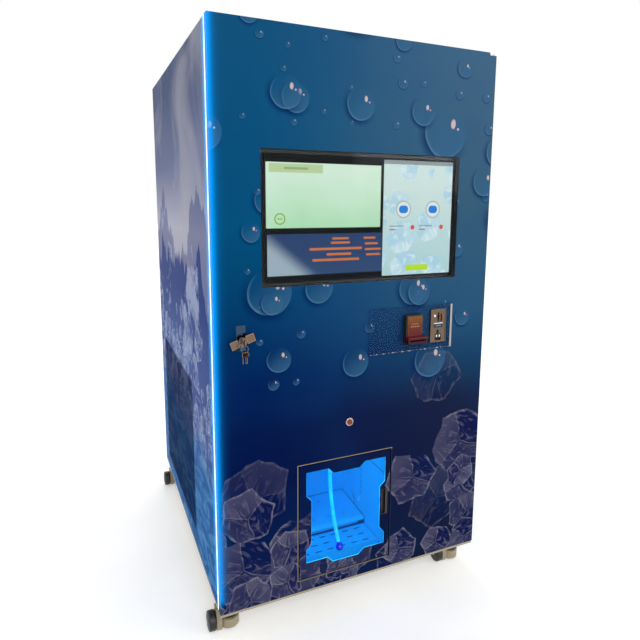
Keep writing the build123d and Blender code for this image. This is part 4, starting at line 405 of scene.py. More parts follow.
# printed film on the door and the hatch: water drops above, ice blocks below, on blue that deepens downwards
frontFilm = {
    "left": [(0.0, "#040d3b"), (0.24, "#011042"), (0.36, "#011546"), (0.45, "#001f54"), (0.53, "#013260"),
             (0.7, "#024a72"), (1.0, "#0d4a70")],
    "right": [(0.0, "#101833"), (0.26, "#131b3a"), (0.37, "#161f3d"), (0.45, "#173c5e"), (0.54, "#264f70"),
              (0.75, "#33566f"), (1.0, "#3a5c78")],
    "across": (-0.45, 0.5), "cloud": "#0b3f74", "back": "#868e95",
    "dropTint": "#305c80", "dropRim": "#557f9f", "dropShade": "#01204f", "glint": "#c9b3ad",
    "drops": [(8.5, 0.010, 0.020, 0.55, 0.78, 4.3), (3.1, 0.046, 0.088, 0.7, 0.72, 9.3),
              (3.9, 0.030, 0.074, 1.1, 0.66, 1.7)],  # scale, least and most radius, amount, floor, shift
    "ice": "#6c697f", "iceLine": "#8d8999", "iceDark": "#0a1748",
    "blocks": [(2.8, 1.1, 0.86, 3.1, 0.3), (4.6, 1.15, 0.68, 7.7, 0.72),
               (6.4, 0.75, 0.5, 5.2, 0.85)],  # scale, amount, ceiling, shift, strength
    # painted light: colour of the light strip's glow on the film, and where it fades across and at the foot
    "paintedEdgeLight": "#0092f0", "edge": (-0.455, -0.5148), "edgeFoot": (0.13, 0.17),
}


def printedDrops(ground, flat, facts):
    for scale, least, most, amount, floor, shift in facts["drops"]:
        drops = useGroup(waterDrops, {"Vector": flat, "Scale": scale, "Least": least, "Most": most,
                                      "Amount": amount, "Floor": floor, "Shift": shift})
        ground = blend(times(drops["Shadow"], 0.8), ground, facts["dropShade"])
        body = blend(times(drops["Shade"], 0.75), ground, facts["dropTint"])
        body = blend(times(drops["Rim"], 0.5), body, facts["dropRim"])
        ground = blend(drops["Inside"], ground, body)
        ground = blend(times(drops["Glint"], 0.85), ground, facts["glint"])
    return ground


def printedBlocks(ground, flat, facts, toneShare, lineShare):
    for scale, amount, ceiling, shift, strength in facts["blocks"]:
        blocks = useGroup(iceBlocks, {"Vector": flat, "Scale": scale, "Amount": amount, "Ceiling": ceiling,
                                      "Shift": shift})
        face = blend(times(blocks["Tone"], toneShare), facts["iceDark"], facts["ice"])
        face = blend(times(blocks["Line"], lineShare), face, facts["iceLine"])
        ground = blend(times(blocks["Inside"], strength), ground, face)
    return ground


def insideMask(parts, node, front, skin=0.0008):  # 1 behind the outer skin of a panel, 0 on its outer faces
    low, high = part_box(node)
    inside = above(parts[1], front + skin)
    for axis in (0, 2):
        inside = times(inside, above(parts[axis], low[axis] + skin))
        inside = times(inside, under(parts[axis], high[axis] - skin))
    return inside


def filmMaterial(name, node):
    facts = frontFilm
    material, shader, place = newMaterial(name, **{"Specular IOR Level": 0.012})
    parts = axes(place)
    flat = toVector(parts[0], parts[2])
    up = over(parts[2], 2.0)
    ground = blend(ease(parts[0], *facts["across"]), ramp(up, facts["left"]), ramp(up, facts["right"]))
    ground = blend(ease(mottle(flat, 2.2, flat=True), 0.35, 0.7, 0.0, 0.15), ground, facts["cloud"])
    ground = printedBlocks(ground, flat, facts, 0.75, 1.0)
    ground = printedDrops(ground, flat, facts)
    # painted light: the light strip's blue glow on the film near the door's left edge, in colour and in emission; the
    # whole film also glows faintly
    near = ease(parts[0], *facts["edge"])
    near = plus(times(calc("POWER", near, 9.0), 0.8), times(calc("POWER", near, 2.0), 0.2))
    near = times(near, ease(parts[2], *facts["edgeFoot"]))
    ground = blend(times(near, 0.85), ground, facts["paintedEdgeLight"])
    inside = insideMask(parts, node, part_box(node)[0].y)
    ground = blend(inside, ground, facts["back"])
    near = times(near, minus(1.0, inside))
    feed(shader, {"Base Color": ground, "Emission Color": ground, "Emission Strength": plus(times(near, 0.3), 0.04),
                  "Roughness": ease(mottle(flat, 600.0, flat=True), 0.3, 0.7, 0.17, 0.25),
                  "Normal": bump(mottle(flat, 5.0, 1.0, flat=True), 0.08, 0.004)})
    return material


finish["front_print"] = filmMaterial("frontFilm", "door_skin")
finish["hatch_print"] = filmMaterial("hatchFilm", "hatch_panel")
print("front film made")


# printed film on the sides: pale sky, ice peaks, a pile of ice and clear water at the foot
sideFilm = {
    "sky": [(0.0, "#2f80c8"), (0.3, "#5a70b4"), (0.5, "#8f96c4"), (0.68, "#c4c4d6"), (0.8, "#7681a8"),
            (0.95, "#4b5a82")],
    "cloud": "#c4c3ce", "haze": "#6a82c4", "peakDark": "#1f3e88", "peakLight": "#a4b0d4",
    "ridges": [(0.55, 2.3, 1.36, 5.0), (0.9, 3.6, 1.24, 11.0)],  # strength, scale, height, shift
    "ice": "#b4c4e4", "iceDark": "#3c5aa4", "iceLine": "#dbe6f6",
    "blocks": [(6.0, 1.1, 1.15, 2.2, 0.8), (9.5, 1.1, 1.08, 9.1, 0.75)],  # scale, amount, ceiling, shift, strength
    "water": "#1c66b0", "waterLight": "#4a92cc", "paintedEdgeLight": "#3aa6f8", "back": "#868e95", "skin": 0.5142,
    "ventSkin": 0.5, "ventShade": [(0.05, "#84a8c0"), (0.22, "#b9c2d6"), (0.4, "#c2c8e0")],
}


def sideColour(parts):
    facts = sideFilm
    flat = toVector(parts[1], parts[2])
    cloud = mottle(flat, 1.8, 4.0, flat=True, Distortion=0.8)
    ground = blend(ease(cloud, 0.4, 0.72, 0.0, 0.5), ramp(over(parts[2], 2.0), facts["sky"]), facts["cloud"])
    for strength, scale, height, shift in facts["ridges"]:
        ridge = mottle(toVector(plus(parts[1], shift)), scale, 5.0, flat=True, Roughness=0.55)
        top = plus(times(minus(ridge, 0.5), 0.9), height)
        below = ease(minus(top, parts[2]), 0.0, 0.012)
        steep = vec("MULTIPLY", flat, (1.0, 0.9, 1.0))
        snow = mottle(steep, 3.4, 8.0, flat=True, Roughness=0.66, Distortion=0.3)
        rock = blend(ease(snow, 0.5, 0.6), facts["peakDark"], facts["peakLight"])
        ground = blend(times(below, strength), ground, rock)
    ground = blend(times(ease(parts[2], 1.15, 0.85), 0.35), ground, facts["haze"])
    ground = printedBlocks(ground, flat, facts, 1.0, 0.8)
    ripple = mottle(vec("MULTIPLY", flat, (1.0, 2.6, 1.0)), 6.0, 3.0, flat=True, Distortion=1.4)
    water = blend(ease(ripple, 0.42, 0.66), facts["water"], facts["waterLight"])
    shore = plus(parts[2], times(minus(cloud, 0.5), 0.35))
    return blend(ease(shore, 0.72, 0.5), ground, water)


def sideMaterial(name, vented):
    facts = sideFilm
    material, shader, place = newMaterial(name, **{"Specular IOR Level": 0.001})
    parts = axes(place)
    ground = sideColour(parts)
    # painted light: the light strip's blue glow on the left panel near its front edge, in colour and in emission
    near = times(calc("POWER", ease(parts[1], -0.46, -0.573), 6.0), ease(parts[2], 0.13, 0.2))
    near = times(near, under(parts[0], -facts["skin"]))  # the left panel only
    ground = blend(times(near, 0.9), ground, facts["paintedEdgeLight"])
    feed(shader, {"Emission Color": ground, "Emission Strength": times(near, 0.45)})
    within = under(calc("ABSOLUTE", parts[0]), facts["ventSkin" if vented else "skin"])
    ground = blend(within, ground, facts["back"])
    if vented:
        ground = blend(1.0, ground, ramp(over(parts[2], 2.0), facts["ventShade"]), "MULTIPLY")
    texture = useGroup(grain, {"Vector": place, "Scale": 600.0, "Smooth": 0.26, "Spread": 0.1})
    feed(shader, {"Base Color": ground, "Roughness": texture["Roughness"],
                  "Normal": bump(mottle(place, 4.0), 0.06, 0.004)})
    return material


finish["side_print"] = sideMaterial("sideFilm", False)
finish["vent_print"] = sideMaterial("ventFilm", True)
print("side film made")


# display: a wide green panel, a tall pale one, and a navy strip with bars
display = {
    "areas": {  # left and right, low and high, colour at the foot and at the top
        "green": ((-0.345, 0.057), (1.391, 1.594), "#a9dcae", "#d3ebd6"),
        "tall": ((0.068, 0.347), (1.223, 1.614), "#aed0d4", "#cfe2dc"),
        "navy": ((-0.342, 0.066), (1.240, 1.372), "#2f4a72", "#27406c"),
    },
    "off": "#060a0b", "dark": "#050608", "case": "#1b1d20", "paleLowerLeft": "#a9bcc6", "strength": 0.86,
    "iceDark": "#a5cfe2", "ice": "#e2f0f2", "iceLine": "#8fbfdc", "blocks": [(9.0, 1.1, 1.75, 6.1, 0.75)],
    "marks": [  # colour, corner, strips as left, right, low, high
        ("#b9cf9c", 0.002, [(-0.335, -0.155, 1.563, 1.59)]),
        ("#8fae7c", 0.002, [(-0.285, -0.205, 1.573, 1.58)]),
        ("#7da42f", 0.018, [(-0.318, -0.282, 1.402, 1.438)]),
        ("#b9e0b2", 0.0145, [(-0.3145, -0.2855, 1.4055, 1.4345)]),
        ("#7da42f", 0.002, [(-0.309, -0.291, 1.4185, 1.4215)]),
        ("#8f9a9c", 0.001, [(0.068, 0.347, 1.601, 1.614)]),
        ("#b7dd1c", 0.002, [(0.163, 0.253, 1.237, 1.257)]),
        ("#c8733f", 0.003, [(-0.12, -0.06, 1.352, 1.359), (-0.125, -0.055, 1.338, 1.345), (-0.2, -0.01, 1.318, 1.326),
                            (-0.14, -0.05, 1.3, 1.308), (-0.19, -0.02, 1.282, 1.29), (-0.005, 0.04, 1.352, 1.359),
                            (0.0, 0.05, 1.333, 1.34), (0.0, 0.062, 1.314, 1.321), (0.005, 0.06, 1.296, 1.303)]),
    ],
    "iconMiddles": (0.148, 0.268),
    "icon": [  # colour, corner, left and right of the middle, low, high
        ("#a9b3ae", 0.03, -0.03, 0.03, 1.42, 1.48), ("#dfe6e2", 0.026, -0.026, 0.026, 1.424, 1.476),
        ("#1f7fd6", 0.012, -0.018, 0.018, 1.437, 1.463), ("#8aa0a8", 0.002, -0.055, 0.0, 1.391, 1.395),
        ("#c0605c", 0.002, -0.055, -0.03, 1.379, 1.383), ("#d8504c", 0.008, 0.03, 0.046, 1.38, 1.396),
    ],
}


def boxMask(place, x, z, corner=0.002):
    inputs = {"Vector": place, "Across": (x[0] + x[1]) / 2, "Up": (z[0] + z[1]) / 2, "Half Width": (x[1] - x[0]) / 2,
              "Half Height": (z[1] - z[0]) / 2, "Corner": corner}
    return useGroup(flatShape, inputs)[0]


def bars(picture, place, colour, strips, corner=0.002):
    for x0, x1, z0, z1 in strips:
        mask = boxMask(place, (x0, x1), (z0, z1), min(corner, (x1 - x0) / 2, (z1 - z0) / 2))
        picture = blend(mask, picture, colour)
    return picture


def displayMaterial():
    material, shader, place = newMaterial("displayPicture")
    parts = axes(place)
    flat = toVector(parts[0], parts[2])
    picture = display["off"]
    soft = times(mottle(flat, 7.0, flat=True), 0.12)
    for key, (x, z, foot, top) in display["areas"].items():
        fill = blend(ease(plus(parts[2], soft), z[0], z[1] + 0.06), foot, top)
        if key == "tall":
            fill = printedBlocks(fill, flat, display, 1.0, 0.7)
        if key == "navy":
            # the navy area is painted paler towards its lower left
            paleLowerLeft = ease(plus(parts[0], times(parts[2], 1.2)), 1.33, 1.24)
            fill = blend(times(paleLowerLeft, 0.8), fill, display["paleLowerLeft"])
        picture = blend(boxMask(place, x, z), picture, fill)
    for colour, corner, strips in display["marks"]:
        picture = bars(picture, place, colour, strips, corner)
    for middle in display["iconMiddles"]:
        for colour, corner, left, right, low, high in display["icon"]:
            picture = bars(picture, place, colour, [(middle + left, middle + right, low, high)], corner)
    face = under(parts[1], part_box("display_module")[0].y + 0.003)
    dark = blend(0.85, picture, display["dark"])
    feed(shader, {"Emission Color": picture, "Emission Strength": times(face, display["strength"]),
                  "Base Color": blend(face, display["case"], dark),
                  "Roughness": ease(mottle(flat, 1500.0, flat=True), 0.2, 0.8, 0.3, 0.42)})
    return material


finish["screen_black"] = displayMaterial()
print("display picture made")


# clear sheets: light from lamps passes, so that what is behind them stays lit
def clearMaterial(name, tint, gloss, density):
    material, shader, place = newMaterial(name, **{"Transmission Weight": 1.0, "IOR": 1.14})
    smear = mottle(place, 14.0, 4.0)
    tone = blend(ease(smear, 0.3, 0.8, 0.0, density), tint, "#eef3f7")
    feed(shader, {"Base Color": tone, "Roughness": ease(smear, 0.35, 0.8, gloss, gloss + 0.03)})
    window = put("BsdfTransparent", {0: paint(tint)})
    passing = rayMask("Is Shadow Ray", "Is Diffuse Ray")
    mix = put("MixShader", {0: passing, 1: shader.outputs[0], 2: window.outputs[0]})
    end = next(node for node in current["tree"].nodes if node.type == "OUTPUT_MATERIAL")
    feed(end, {0: mix.outputs[0]})
    return material


finish["screen_glass"] = clearMaterial("coverGlass", "#f1f5f6", 0.0, 0.3)
finish["clear_acrylic"] = clearMaterial("payPlateAcrylic", "#e6eef6", 0.01, 0.3)
finish["blue_pane"] = clearMaterial("hatchPane", "#cfe4fb", 0.01, 0.5)


# lit parts
def litMaterial(name, base, glow, strength, size):
    material, shader, place = newMaterial(name, **{"Emission Strength": strength})
    noise = mottle(place, size)
    tone = blend(ease(noise, 0.3, 0.7), glow, base)
    feed(shader, {"Base Color": tone, "Emission Color": tone, "Roughness": ease(noise, 0.3, 0.7, 0.35, 0.45)})
    return material


finish["lit_diffuser"] = litMaterial("lightStrip", "#e0f8ff", "#b4ecff", 1.6, 60.0)
finish["lit_blue"] = litMaterial("lampDiffuser", "#4db8ff", "#1a94ff", 5.0, 40.0)


noteFace = {
    "stops": [(0.0, "#280812"), (0.1, "#3b0f1b"), (0.3, "#600f1c"), (0.62, "#5e2c19"), (1.0, "#7c4d1c")],
    "marks": "#a8785a", "strip": (0.174, 0.203, 1.0495, 1.0515), "dash": (0.171, 0.1755, 1.0385, 1.0435),
    "dashStep": 0.0076, "dashes": 5,
}


def rowOf(count, first, step):  # strips side by side
    return [(first[0] + step * i, first[1] + step * i, first[2], first[3]) for i in range(count)]


def noteFaceMaterial():  # lit face of the note acceptor: amber at its top, dark red at the mouth
    material, shader, place = newMaterial("noteFace", **{"Specular IOR Level": 0.2, "Emission Strength": 0.03})
    low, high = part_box("note_bezel")
    tone = ramp(over(minus(axes(place)[2], low.z), high.z - low.z), noteFace["stops"])
    marks = [noteFace["strip"]] + rowOf(noteFace["dashes"], noteFace["dash"], noteFace["dashStep"])
    tone = bars(tone, place, noteFace["marks"], marks, 0.001)
    texture = useGroup(grain, {"Vector": place, "Scale": 900.0, "Smooth": 0.28, "Spread": 0.1})
    feed(shader, {"Base Color": tone, "Emission Color": tone, "Roughness": texture["Roughness"]})
    return material


finish["lit_orange"] = noteFaceMaterial()


# the outlet compartment is flooded with blue light from its lamp; this light is painted into its steel as blue colour
# and glow, with painted shade below the ramp and the tray
outlet = {
    "near": "#00b8ff", "far": "#0096e2", "shade": "#009aec", "lip": "#18c0ff", "glow": 0.62, "steel": "#0a84c4",
    "gap": "#001c48", "outside": "#9aa0a5", "seamAndShade": {"liner": "#00458f", "tray": "#00306c", "ramp": "#002560"},
    "front": -0.5845, "back": -0.2265, "low": 0.156, "high": 0.565,
    "shell": {"left": -0.2290, "right": 0.1130, "back": -0.2255, "top": 0.5665},
    "nodes": {"outlet_liner": "liner", "drain_tray": "tray", "chute_ramp": "ramp"},
}


def outletSeamAndShade(parts, part):  # 1 in the seams and gaps, and where painted shade falls
    if part == "liner":  # painted shade below the ramp and the tray
        slope = ease(parts[1], -0.4365, -0.4355, 0.188, 0.216)
        dark = times(ease(minus(parts[2], slope), 0.003, 0.0), ease(parts[1], -0.557, -0.555))
        return times(dark, ease(parts[1], -0.373, -0.379, 0.25, 1.0))
    # painted shade on the upright faces of the tray and of the ramp
    wall = under(calc("ABSOLUTE", axes(put("NewGeometry").outputs["Normal"])[2]), 0.5)
    if part == "tray":
        return times(wall, times(under(parts[2], 0.1902), above(parts[1], -0.5525)))
    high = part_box("chute_ramp")[1]  # the ramp also has seams along its right and back edges
    seams = larger(ease(parts[0], high.x - 0.0040, high.x - 0.0025), ease(parts[1], high.y - 0.0045, high.y - 0.003))
    return larger(times(wall, above(parts[1], -0.431)), seams)


def outletMaterial(part):
    material, shader, place = newMaterial(f"litSteel{part.title()}", **{"Specular IOR Level": 0.03})
    parts = axes(place)
    shell = outlet["shell"]
    depth = ease(parts[1], outlet["front"], outlet["back"])
    height = ease(parts[2], outlet["low"], outlet["high"])
    lit = blend(times(depth, 0.95), outlet["near"], outlet["far"])
    lit = blend(times(minus(1.0, height), 0.3), lit, outlet["shade"])
    texture = useGroup(brushed, {"Vector": place, "Smooth": 0.36, "Spread": 0.2})
    lit = blend(1.0, lit, texture["Tone"], "MULTIPLY")
    dark = outletSeamAndShade(parts, part)
    if part == "ramp":  # light on its folded lip
        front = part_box("chute_ramp")[0].y
        lit = blend(times(ease(parts[1], front + 0.017, front + 0.013), 0.8), lit, outlet["lip"])
    lit = blend(dark, lit, outlet["seamAndShade"][part])
    outer = larger(above(parts[0], shell["right"]), under(parts[0], shell["left"]))
    outer = larger(larger(outer, above(parts[1], shell["back"])), above(parts[2], shell["top"]))
    # the steel's blue base colour is painted lamp light; outside the compartment it is plain grey
    plain = blend(dark, blend(1.0, outlet["steel"], texture["Tone"], "MULTIPLY"), outlet["gap"])
    feed(shader, {"Base Color": blend(outer, plain, outlet["outside"]), "Roughness": texture["Roughness"],
                  "Emission Color": lit, "Emission Strength": times(minus(1.0, outer), outlet["glow"])})
    return material


jamb = {"brown": "#8d7f6d", "shade": "#2a3040", "plain": "#8f9599", "reach": 0.03}


def jambMaterial():  # brown steel edge round the hatch, in shade down its right side
    material, shader, place = newMaterial("jambSteel", Metallic=1.0)
    texture = useGroup(brushed, {"Vector": place, "Smooth": 0.36, "Spread": 0.25})
    low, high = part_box("hatch_panel")
    across, _, up = axes(place)
    shade = times(ease(across, high.x - 0.004, high.x - 0.001), under(across, high.x + 0.012))
    tone = blend(times(shade, under(up, high.z + 0.001)), jamb["brown"], jamb["shade"])
    reach = jamb["reach"]
    around = boxMask(place, (low.x - reach, high.x + reach), (low.z - reach, high.z + reach))
    tone = blend(around, jamb["plain"], tone)
    feed(shader, {"Base Color": blend(1.0, tone, texture["Tone"], "MULTIPLY"), "Roughness": texture["Roughness"]})
    return material


finish["jamb_steel"] = jambMaterial()


# nodes with a finish of their own, in place of the one that their slot names
ownFinish = {"hatch_pull": "dark_plastic", "door_frame": "jamb_steel", "lock_plate": "lock_steel",
             "coin_return_button": "white_chrome", "button_bezel": "ring_chrome", "hatch_panel": "hatch_print"}


def setFinishes():
    bySlot = {part["node"]: part["material_slot"] for part in frame["record"]["subparts"]}
    chosen = {name: finish[bySlot[name]] for name in nodes if bySlot[name] in finish}
    chosen |= {name: finish[kind] for name, kind in ownFinish.items()}
    chosen |= {name: outletMaterial(part) for name, part in outlet["nodes"].items()}
    for name, material in chosen.items():
        for slot in nodes[name].material_slots:
            slot.material = material
    print("finishes set on", len(chosen), "nodes; without one:", sorted(set(nodes) - set(chosen)))


setFinishes()


# modelling shorthand: a primitive is added at its place, shaped in edit mode, then finished with modifiers
def selectNone():
    bpy.ops.object.select_all(action="DESELECT")


def activate(obj):
    selectNone()
    bpy.context.view_layer.objects.active = obj
    obj.select_set(True)


def setMode(name):
    bpy.ops.object.mode_set(mode=name)


def addBlock(name, low, high):
    selectNone()
    size = [b - a for a, b in zip(low, high)]
    middle = [(a + b) / 2 for a, b in zip(low, high)]
    bpy.ops.mesh.primitive_cube_add(size=1, location=middle, scale=size)
    return settle(name)


def addRound(name, place, radius, depth, axis="Z", sides=32):
    selectNone()
    turns = {"X": (0, math.pi / 2, 0), "Y": (math.pi / 2, 0, 0), "Z": (0, 0, 0)}
    bpy.ops.mesh.primitive_cylinder_add(vertices=sides, radius=radius, depth=depth, location=place,
                                        rotation=turns[axis])
    return settle(name)


def settle(name):  # the object's place goes into its mesh
    bpy.ops.object.transform_apply(location=True, rotation=True, scale=True)
    obj = bpy.context.active_object
    obj.name = name
    return obj


def pickFaces(obj, wanted):
    activate(obj)
    setMode("EDIT")
    bpy.ops.mesh.select_mode(type="FACE")
    bpy.ops.mesh.select_all(action="DESELECT")
    setMode("OBJECT")
    for face in obj.data.polygons:
        face.select = bool(wanted(face))
    setMode("EDIT")


def facing(x=0, y=0, z=0):
    return lambda face: face.normal.dot(Vector((x, y, z))) > 0.9


def insetFaces(obj, wanted, width, depth=0.0):
    pickFaces(obj, wanted)
    bpy.ops.mesh.inset(thickness=width, depth=depth)
    setMode("OBJECT")


def applyModifier(obj, kind, **settings):
    activate(obj)
    modifier = obj.modifiers.new(kind.lower(), kind)
    for key, value in settings.items():
        setattr(modifier, key, value)
    bpy.ops.object.modifier_apply(modifier=modifier.name)


def roundEdges(obj, width, segments=2):
    applyModifier(obj, "BEVEL", width=width, segments=segments, limit_method="ANGLE", angle_limit=math.radians(40))
    bpy.ops.object.shade_smooth_by_angle(angle=math.radians(35))


def cutAway(obj, cutters):
    for cutter in cutters:
        applyModifier(obj, "BOOLEAN", operation="DIFFERENCE", object=cutter, solver="EXACT")
        bpy.data.objects.remove(cutter, do_unlink=True)


def addFrame(name, low, high, width, soften):  # a flat frame that faces the front
    obj = addBlock(name, low, high)
    near = (low[0] + width, low[1] - 0.01, low[2] + width)
    far = (high[0] - width, high[1] + 0.01, high[2] - width)
    cutAway(obj, [addBlock("opening", near, far)])
    roundEdges(obj, soften)
    return obj


def addTrim(name, low, high, soften, segments=2):  # a block with rounded edges
    obj = addBlock(name, low, high)
    roundEdges(obj, soften, segments)
    return obj


def growBlock(obj, low, high):  # joins one more block on
    extra = addBlock("extra", low, high)
    applyModifier(obj, "BOOLEAN", operation="UNION", object=extra, solver="EXACT")
    bpy.data.objects.remove(extra, do_unlink=True)


def turnPiece(obj, degrees, axis, centre):
    activate(obj)
    bpy.ops.transform.rotate(value=math.radians(degrees), orient_axis=axis, center_override=centre)
    bpy.ops.object.transform_apply(location=True, rotation=True, scale=True)


def copyPiece(obj, name, shift=(0, 0, 0)):
    twin = obj.copy()
    twin.data = obj.data.copy()
    twin.name = name
    twin.data.transform(Matrix.Translation(shift))
    bpy.context.scene.collection.objects.link(twin)
    return twin


def joinPieces(objs, name):
    selectNone()
    for obj in objs:
        obj.select_set(True)
    bpy.context.view_layer.objects.active = objs[0]
    bpy.ops.object.join()
    objs[0].name = name
    return objs[0]


def fit(obj, kind, body, slot, *replaced):
    obj.data.materials.clear()
    obj.data.materials.append(finish[kind] if isinstance(kind, str) else kind)
    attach(obj, body)
    if replaced:
        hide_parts(*replaced)


# finishes of the added trim
trimPlain = {  # name, colour, metal, gloss, its spread, grain size, bump, coat
    "frosted_edge": ("paintedEdgeHighlight", "#aaa39d", 0, 0.3, 0.15, 400, 0.03, 0.3),
    "gold_trim": ("goldTrim", "#7a5230", 1, 0.28, 0.15, 500, 0.02, 0),
    "pad_warm": ("warmPadReflection", "#8f6a50", 1, 0.3, 0.15, 400, 0.03, 0),
    "seam_dark": ("seamDark", "#020f30", 0, 0.5, 0.1, 500, 0.03, 0),
    "lip_brown": ("topShadePaint", "#4a3a3c", 0, 0.5, 0.1, 500, 0.03, 0),
}
trimLit = {  # name, light and deep colour, strength, size of the pattern
    "amber_lens": ("amberReflection", "#8a4a22", "#6e3418", 0.05, 300.0),
    "edge_glow": ("paintedEdgeLight", "#30d8ff", "#0a9cff", 0.9, 25.0),
    "bright_rivet": ("paintedGlint", "#bfe6ff", "#7cc4ff", 0.5, 300.0),
}
finish |= {kind: plainMaterial(*facts) for kind, facts in trimPlain.items()}
finish |= {kind: litMaterial(*facts) for kind, facts in trimLit.items()}


# payment plate: painted highlights where its polished edges catch the light down the right side and, broken up, along
# the foot
payPlate = {"edge": ((0.3535, -0.6240, 0.9468), (0.3616, -0.6233, 1.1072)),
            "foot": ((0.0230, -0.6240, 0.9468), (0.3520, -0.6233, 0.9488)),
            "round": 0.00025, "breaks": 75.0, "dark": "#123a66", "bright": "#cdbfbb"}


def footMaterial():
    material, shader, place = newMaterial("plateFoot")
    noise = mottle(vec("MULTIPLY", place, (1.0, 0.0, 0.0)), payPlate["breaks"])
    feed(shader, {"Base Color": blend(ease(noise, 0.5, 0.58), payPlate["dark"], payPlate["bright"]),
                  "Roughness": ease(noise, 0.3, 0.7, 0.25, 0.4)})
    return material


def makePayEdge():
    edge = addTrim("payPlateEdge", *payPlate["edge"], payPlate["round"])
    fit(edge, "frosted_edge", "front_door", "pale_paint")
    foot = addTrim("payPlateFoot", *payPlate["foot"], payPlate["round"])
    fit(foot, footMaterial(), "front_door", "clear_acrylic")


makePayEdge()


# coin acceptor: raised rim, two cheeks beside the slot, window with its marks, return bar, cup ears and light
coin = {
    "face": -0.6265, "slot": (0.3070, 1.062), "cheekSilver": (-0.0020, 0.0070, -0.0075, 0.0027, -1),
    "cheekAmber": (0.0018, 0.0125, -0.0078, 0.0030, 1),  # shift from the slot, radius, front, thickness, side
    "rim": ((0.266, -0.0014, 0.970), (0.332, 0.0, 1.092)),  # in these corners y counts from the face
    "window": ((0.2805, 0.0003, 1.0243), (0.3175, 0.0011, 1.0377)),
    "lip": ((0.2790, -0.0016, 1.0385), (0.3190, 0.0, 1.0412)),
    "bar": ((0.2966, -0.0042, 0.9860), (0.3014, -0.0002, 1.0150)),
    "barFoot": ((0.2900, -0.0026, 0.9860), (0.3080, -0.0002, 0.9890)),
    "ears": ((0.2955, -1), (0.3025, 1)), "earHeight": 0.9930, "earRadius": 0.0056, "light": (0.3225, 0.9800),
    "windowDark": "#0b1230", "windowMarks": "#6f9fdc", "mark": (0.2900, 0.2930, 1.0300, 1.0330), "markStep": 0.0046,
}


def fromFace(corners):
    return [(x, coin["face"] + y, z) for x, y, z in corners]


def halfRound(name, middle, radius, front, depth, side):  # a disc on the face, cut straight on one side
    disc = addRound(name, (middle[0], front + depth / 2, middle[1]), radius, depth, "Y", 28)
    reach = 2 * radius
    left = middle[0] - reach if side > 0 else middle[0]
    low, high = (left, front - reach, middle[1] - reach), (left + reach, front + reach, middle[1] + reach)
    cutAway(disc, [addBlock("straight", low, high)])
    roundEdges(disc, radius * 0.12)
    return disc


def windowMaterial():
    material, shader, place = newMaterial("coinWindow", **{"Emission Strength": 0.15})
    tone = bars(coin["windowDark"], place, coin["windowMarks"], rowOf(5, coin["mark"], coin["markStep"]), 0.0005)
    texture = useGroup(grain, {"Vector": place, "Scale": 900.0, "Smooth": 0.22, "Spread": 0.1})
    feed(shader, {"Base Color": blend(1.0, tone, texture["Tone"], "MULTIPLY"), "Emission Color": tone,
                  "Roughness": texture["Roughness"]})
    return material


def makeCoinTrim():
    face, slot, light = coin["face"], coin["slot"], coin["light"]
    rim = addFrame("coinRim", *fromFace(coin["rim"]), 0.003, 0.0005)
    fit(rim, "bright_chrome", "front_door", "bright_chrome")
    # the amber half-disc beside the slot paints a reflection, and glows faintly
    for name, key, kind, slotName in (("slotCheekSilver", "cheekSilver", "bright_chrome", "bright_chrome"),
                                      ("slotCheekAmber", "cheekAmber", "amber_lens", "nickel")):
        shift, radius, front, depth, side = coin[key]
        cheek = halfRound(name, (slot[0] + shift, slot[1]), radius, face + front, depth, side)
        fit(cheek, kind, "front_door", slotName)
    window = addBlock("coinWindow", *fromFace(coin["window"]))
    insetFaces(window, facing(y=-1), 0.0008, 0.0003)
    fit(window, windowMaterial(), "front_door", "screen_black")
    lip = addTrim("windowLip", *fromFace(coin["lip"]), 0.0006, 3)
    fit(lip, "white_chrome", "front_door", "bright_chrome")
    bar = addBlock("returnBar", *fromFace(coin["bar"]))
    insetFaces(bar, facing(y=-1), 0.0009, -0.0006)
    growBlock(bar, *fromFace(coin["barFoot"]))
    roundEdges(bar, 0.0004)
    fit(bar, "black_plastic", "front_door", "black_plastic")
    for i, (x, side) in enumerate(coin["ears"]):
        ear = halfRound(f"cupEar{i}", (x, coin["earHeight"]), coin["earRadius"], face - 0.0024, 0.0026, side)
        fit(ear, "white_chrome", "front_door", "bright_chrome")
    dot = addRound("stateLight", (light[0], face - 0.0006, light[1]), 0.0017, 0.0014, "Y", 20)
    insetFaces(dot, facing(y=-1), 0.0004, 0.0002)
    fit(dot, "red_button", "front_door", "red_button")


makeCoinTrim()
print("coin acceptor trimmed")


# note acceptor: thin gold line round the lit face
noteLine = {"low": (0.1605, -0.6460, 1.0085), "high": (0.2155, -0.6454, 1.0745), "width": 0.0012, "round": 0.0002}
fit(addFrame("noteFaceLine", *noteLine.values()), "gold_trim", "front_door", "nickel")


# hatch: painted light on the edge round the stepped cut-out, a painted highlight line in the cup pull
cutOut = {
    "corner": (-0.210, 0.195), "size": (0.310, 0.360), "front": -0.6121, "wire": 0.0011, "shares": [
        (0.00, 1.00), (0.27, 1.00), (0.33, 0.945), (0.66, 0.945), (0.73, 1.00), (1.00, 1.00), (1.00, 0.74),
        (0.935, 0.69), (0.935, 0.245), (1.00, 0.175), (1.00, 0.055), (0.73, 0.055), (0.66, 0.00), (0.33, 0.00),
        (0.265, 0.06), (0.00, 0.06), (0.00, 0.20), (0.06, 0.245), (0.06, 0.705), (0.00, 0.76)],
}
pull = {"line": ((0.1030, -0.6158, 0.3345), (0.1043, -0.6150, 0.4265)),
        "foot": ((0.0980, -0.6158, 0.3345), (0.1043, -0.6150, 0.3360)), "round": 0.0003}


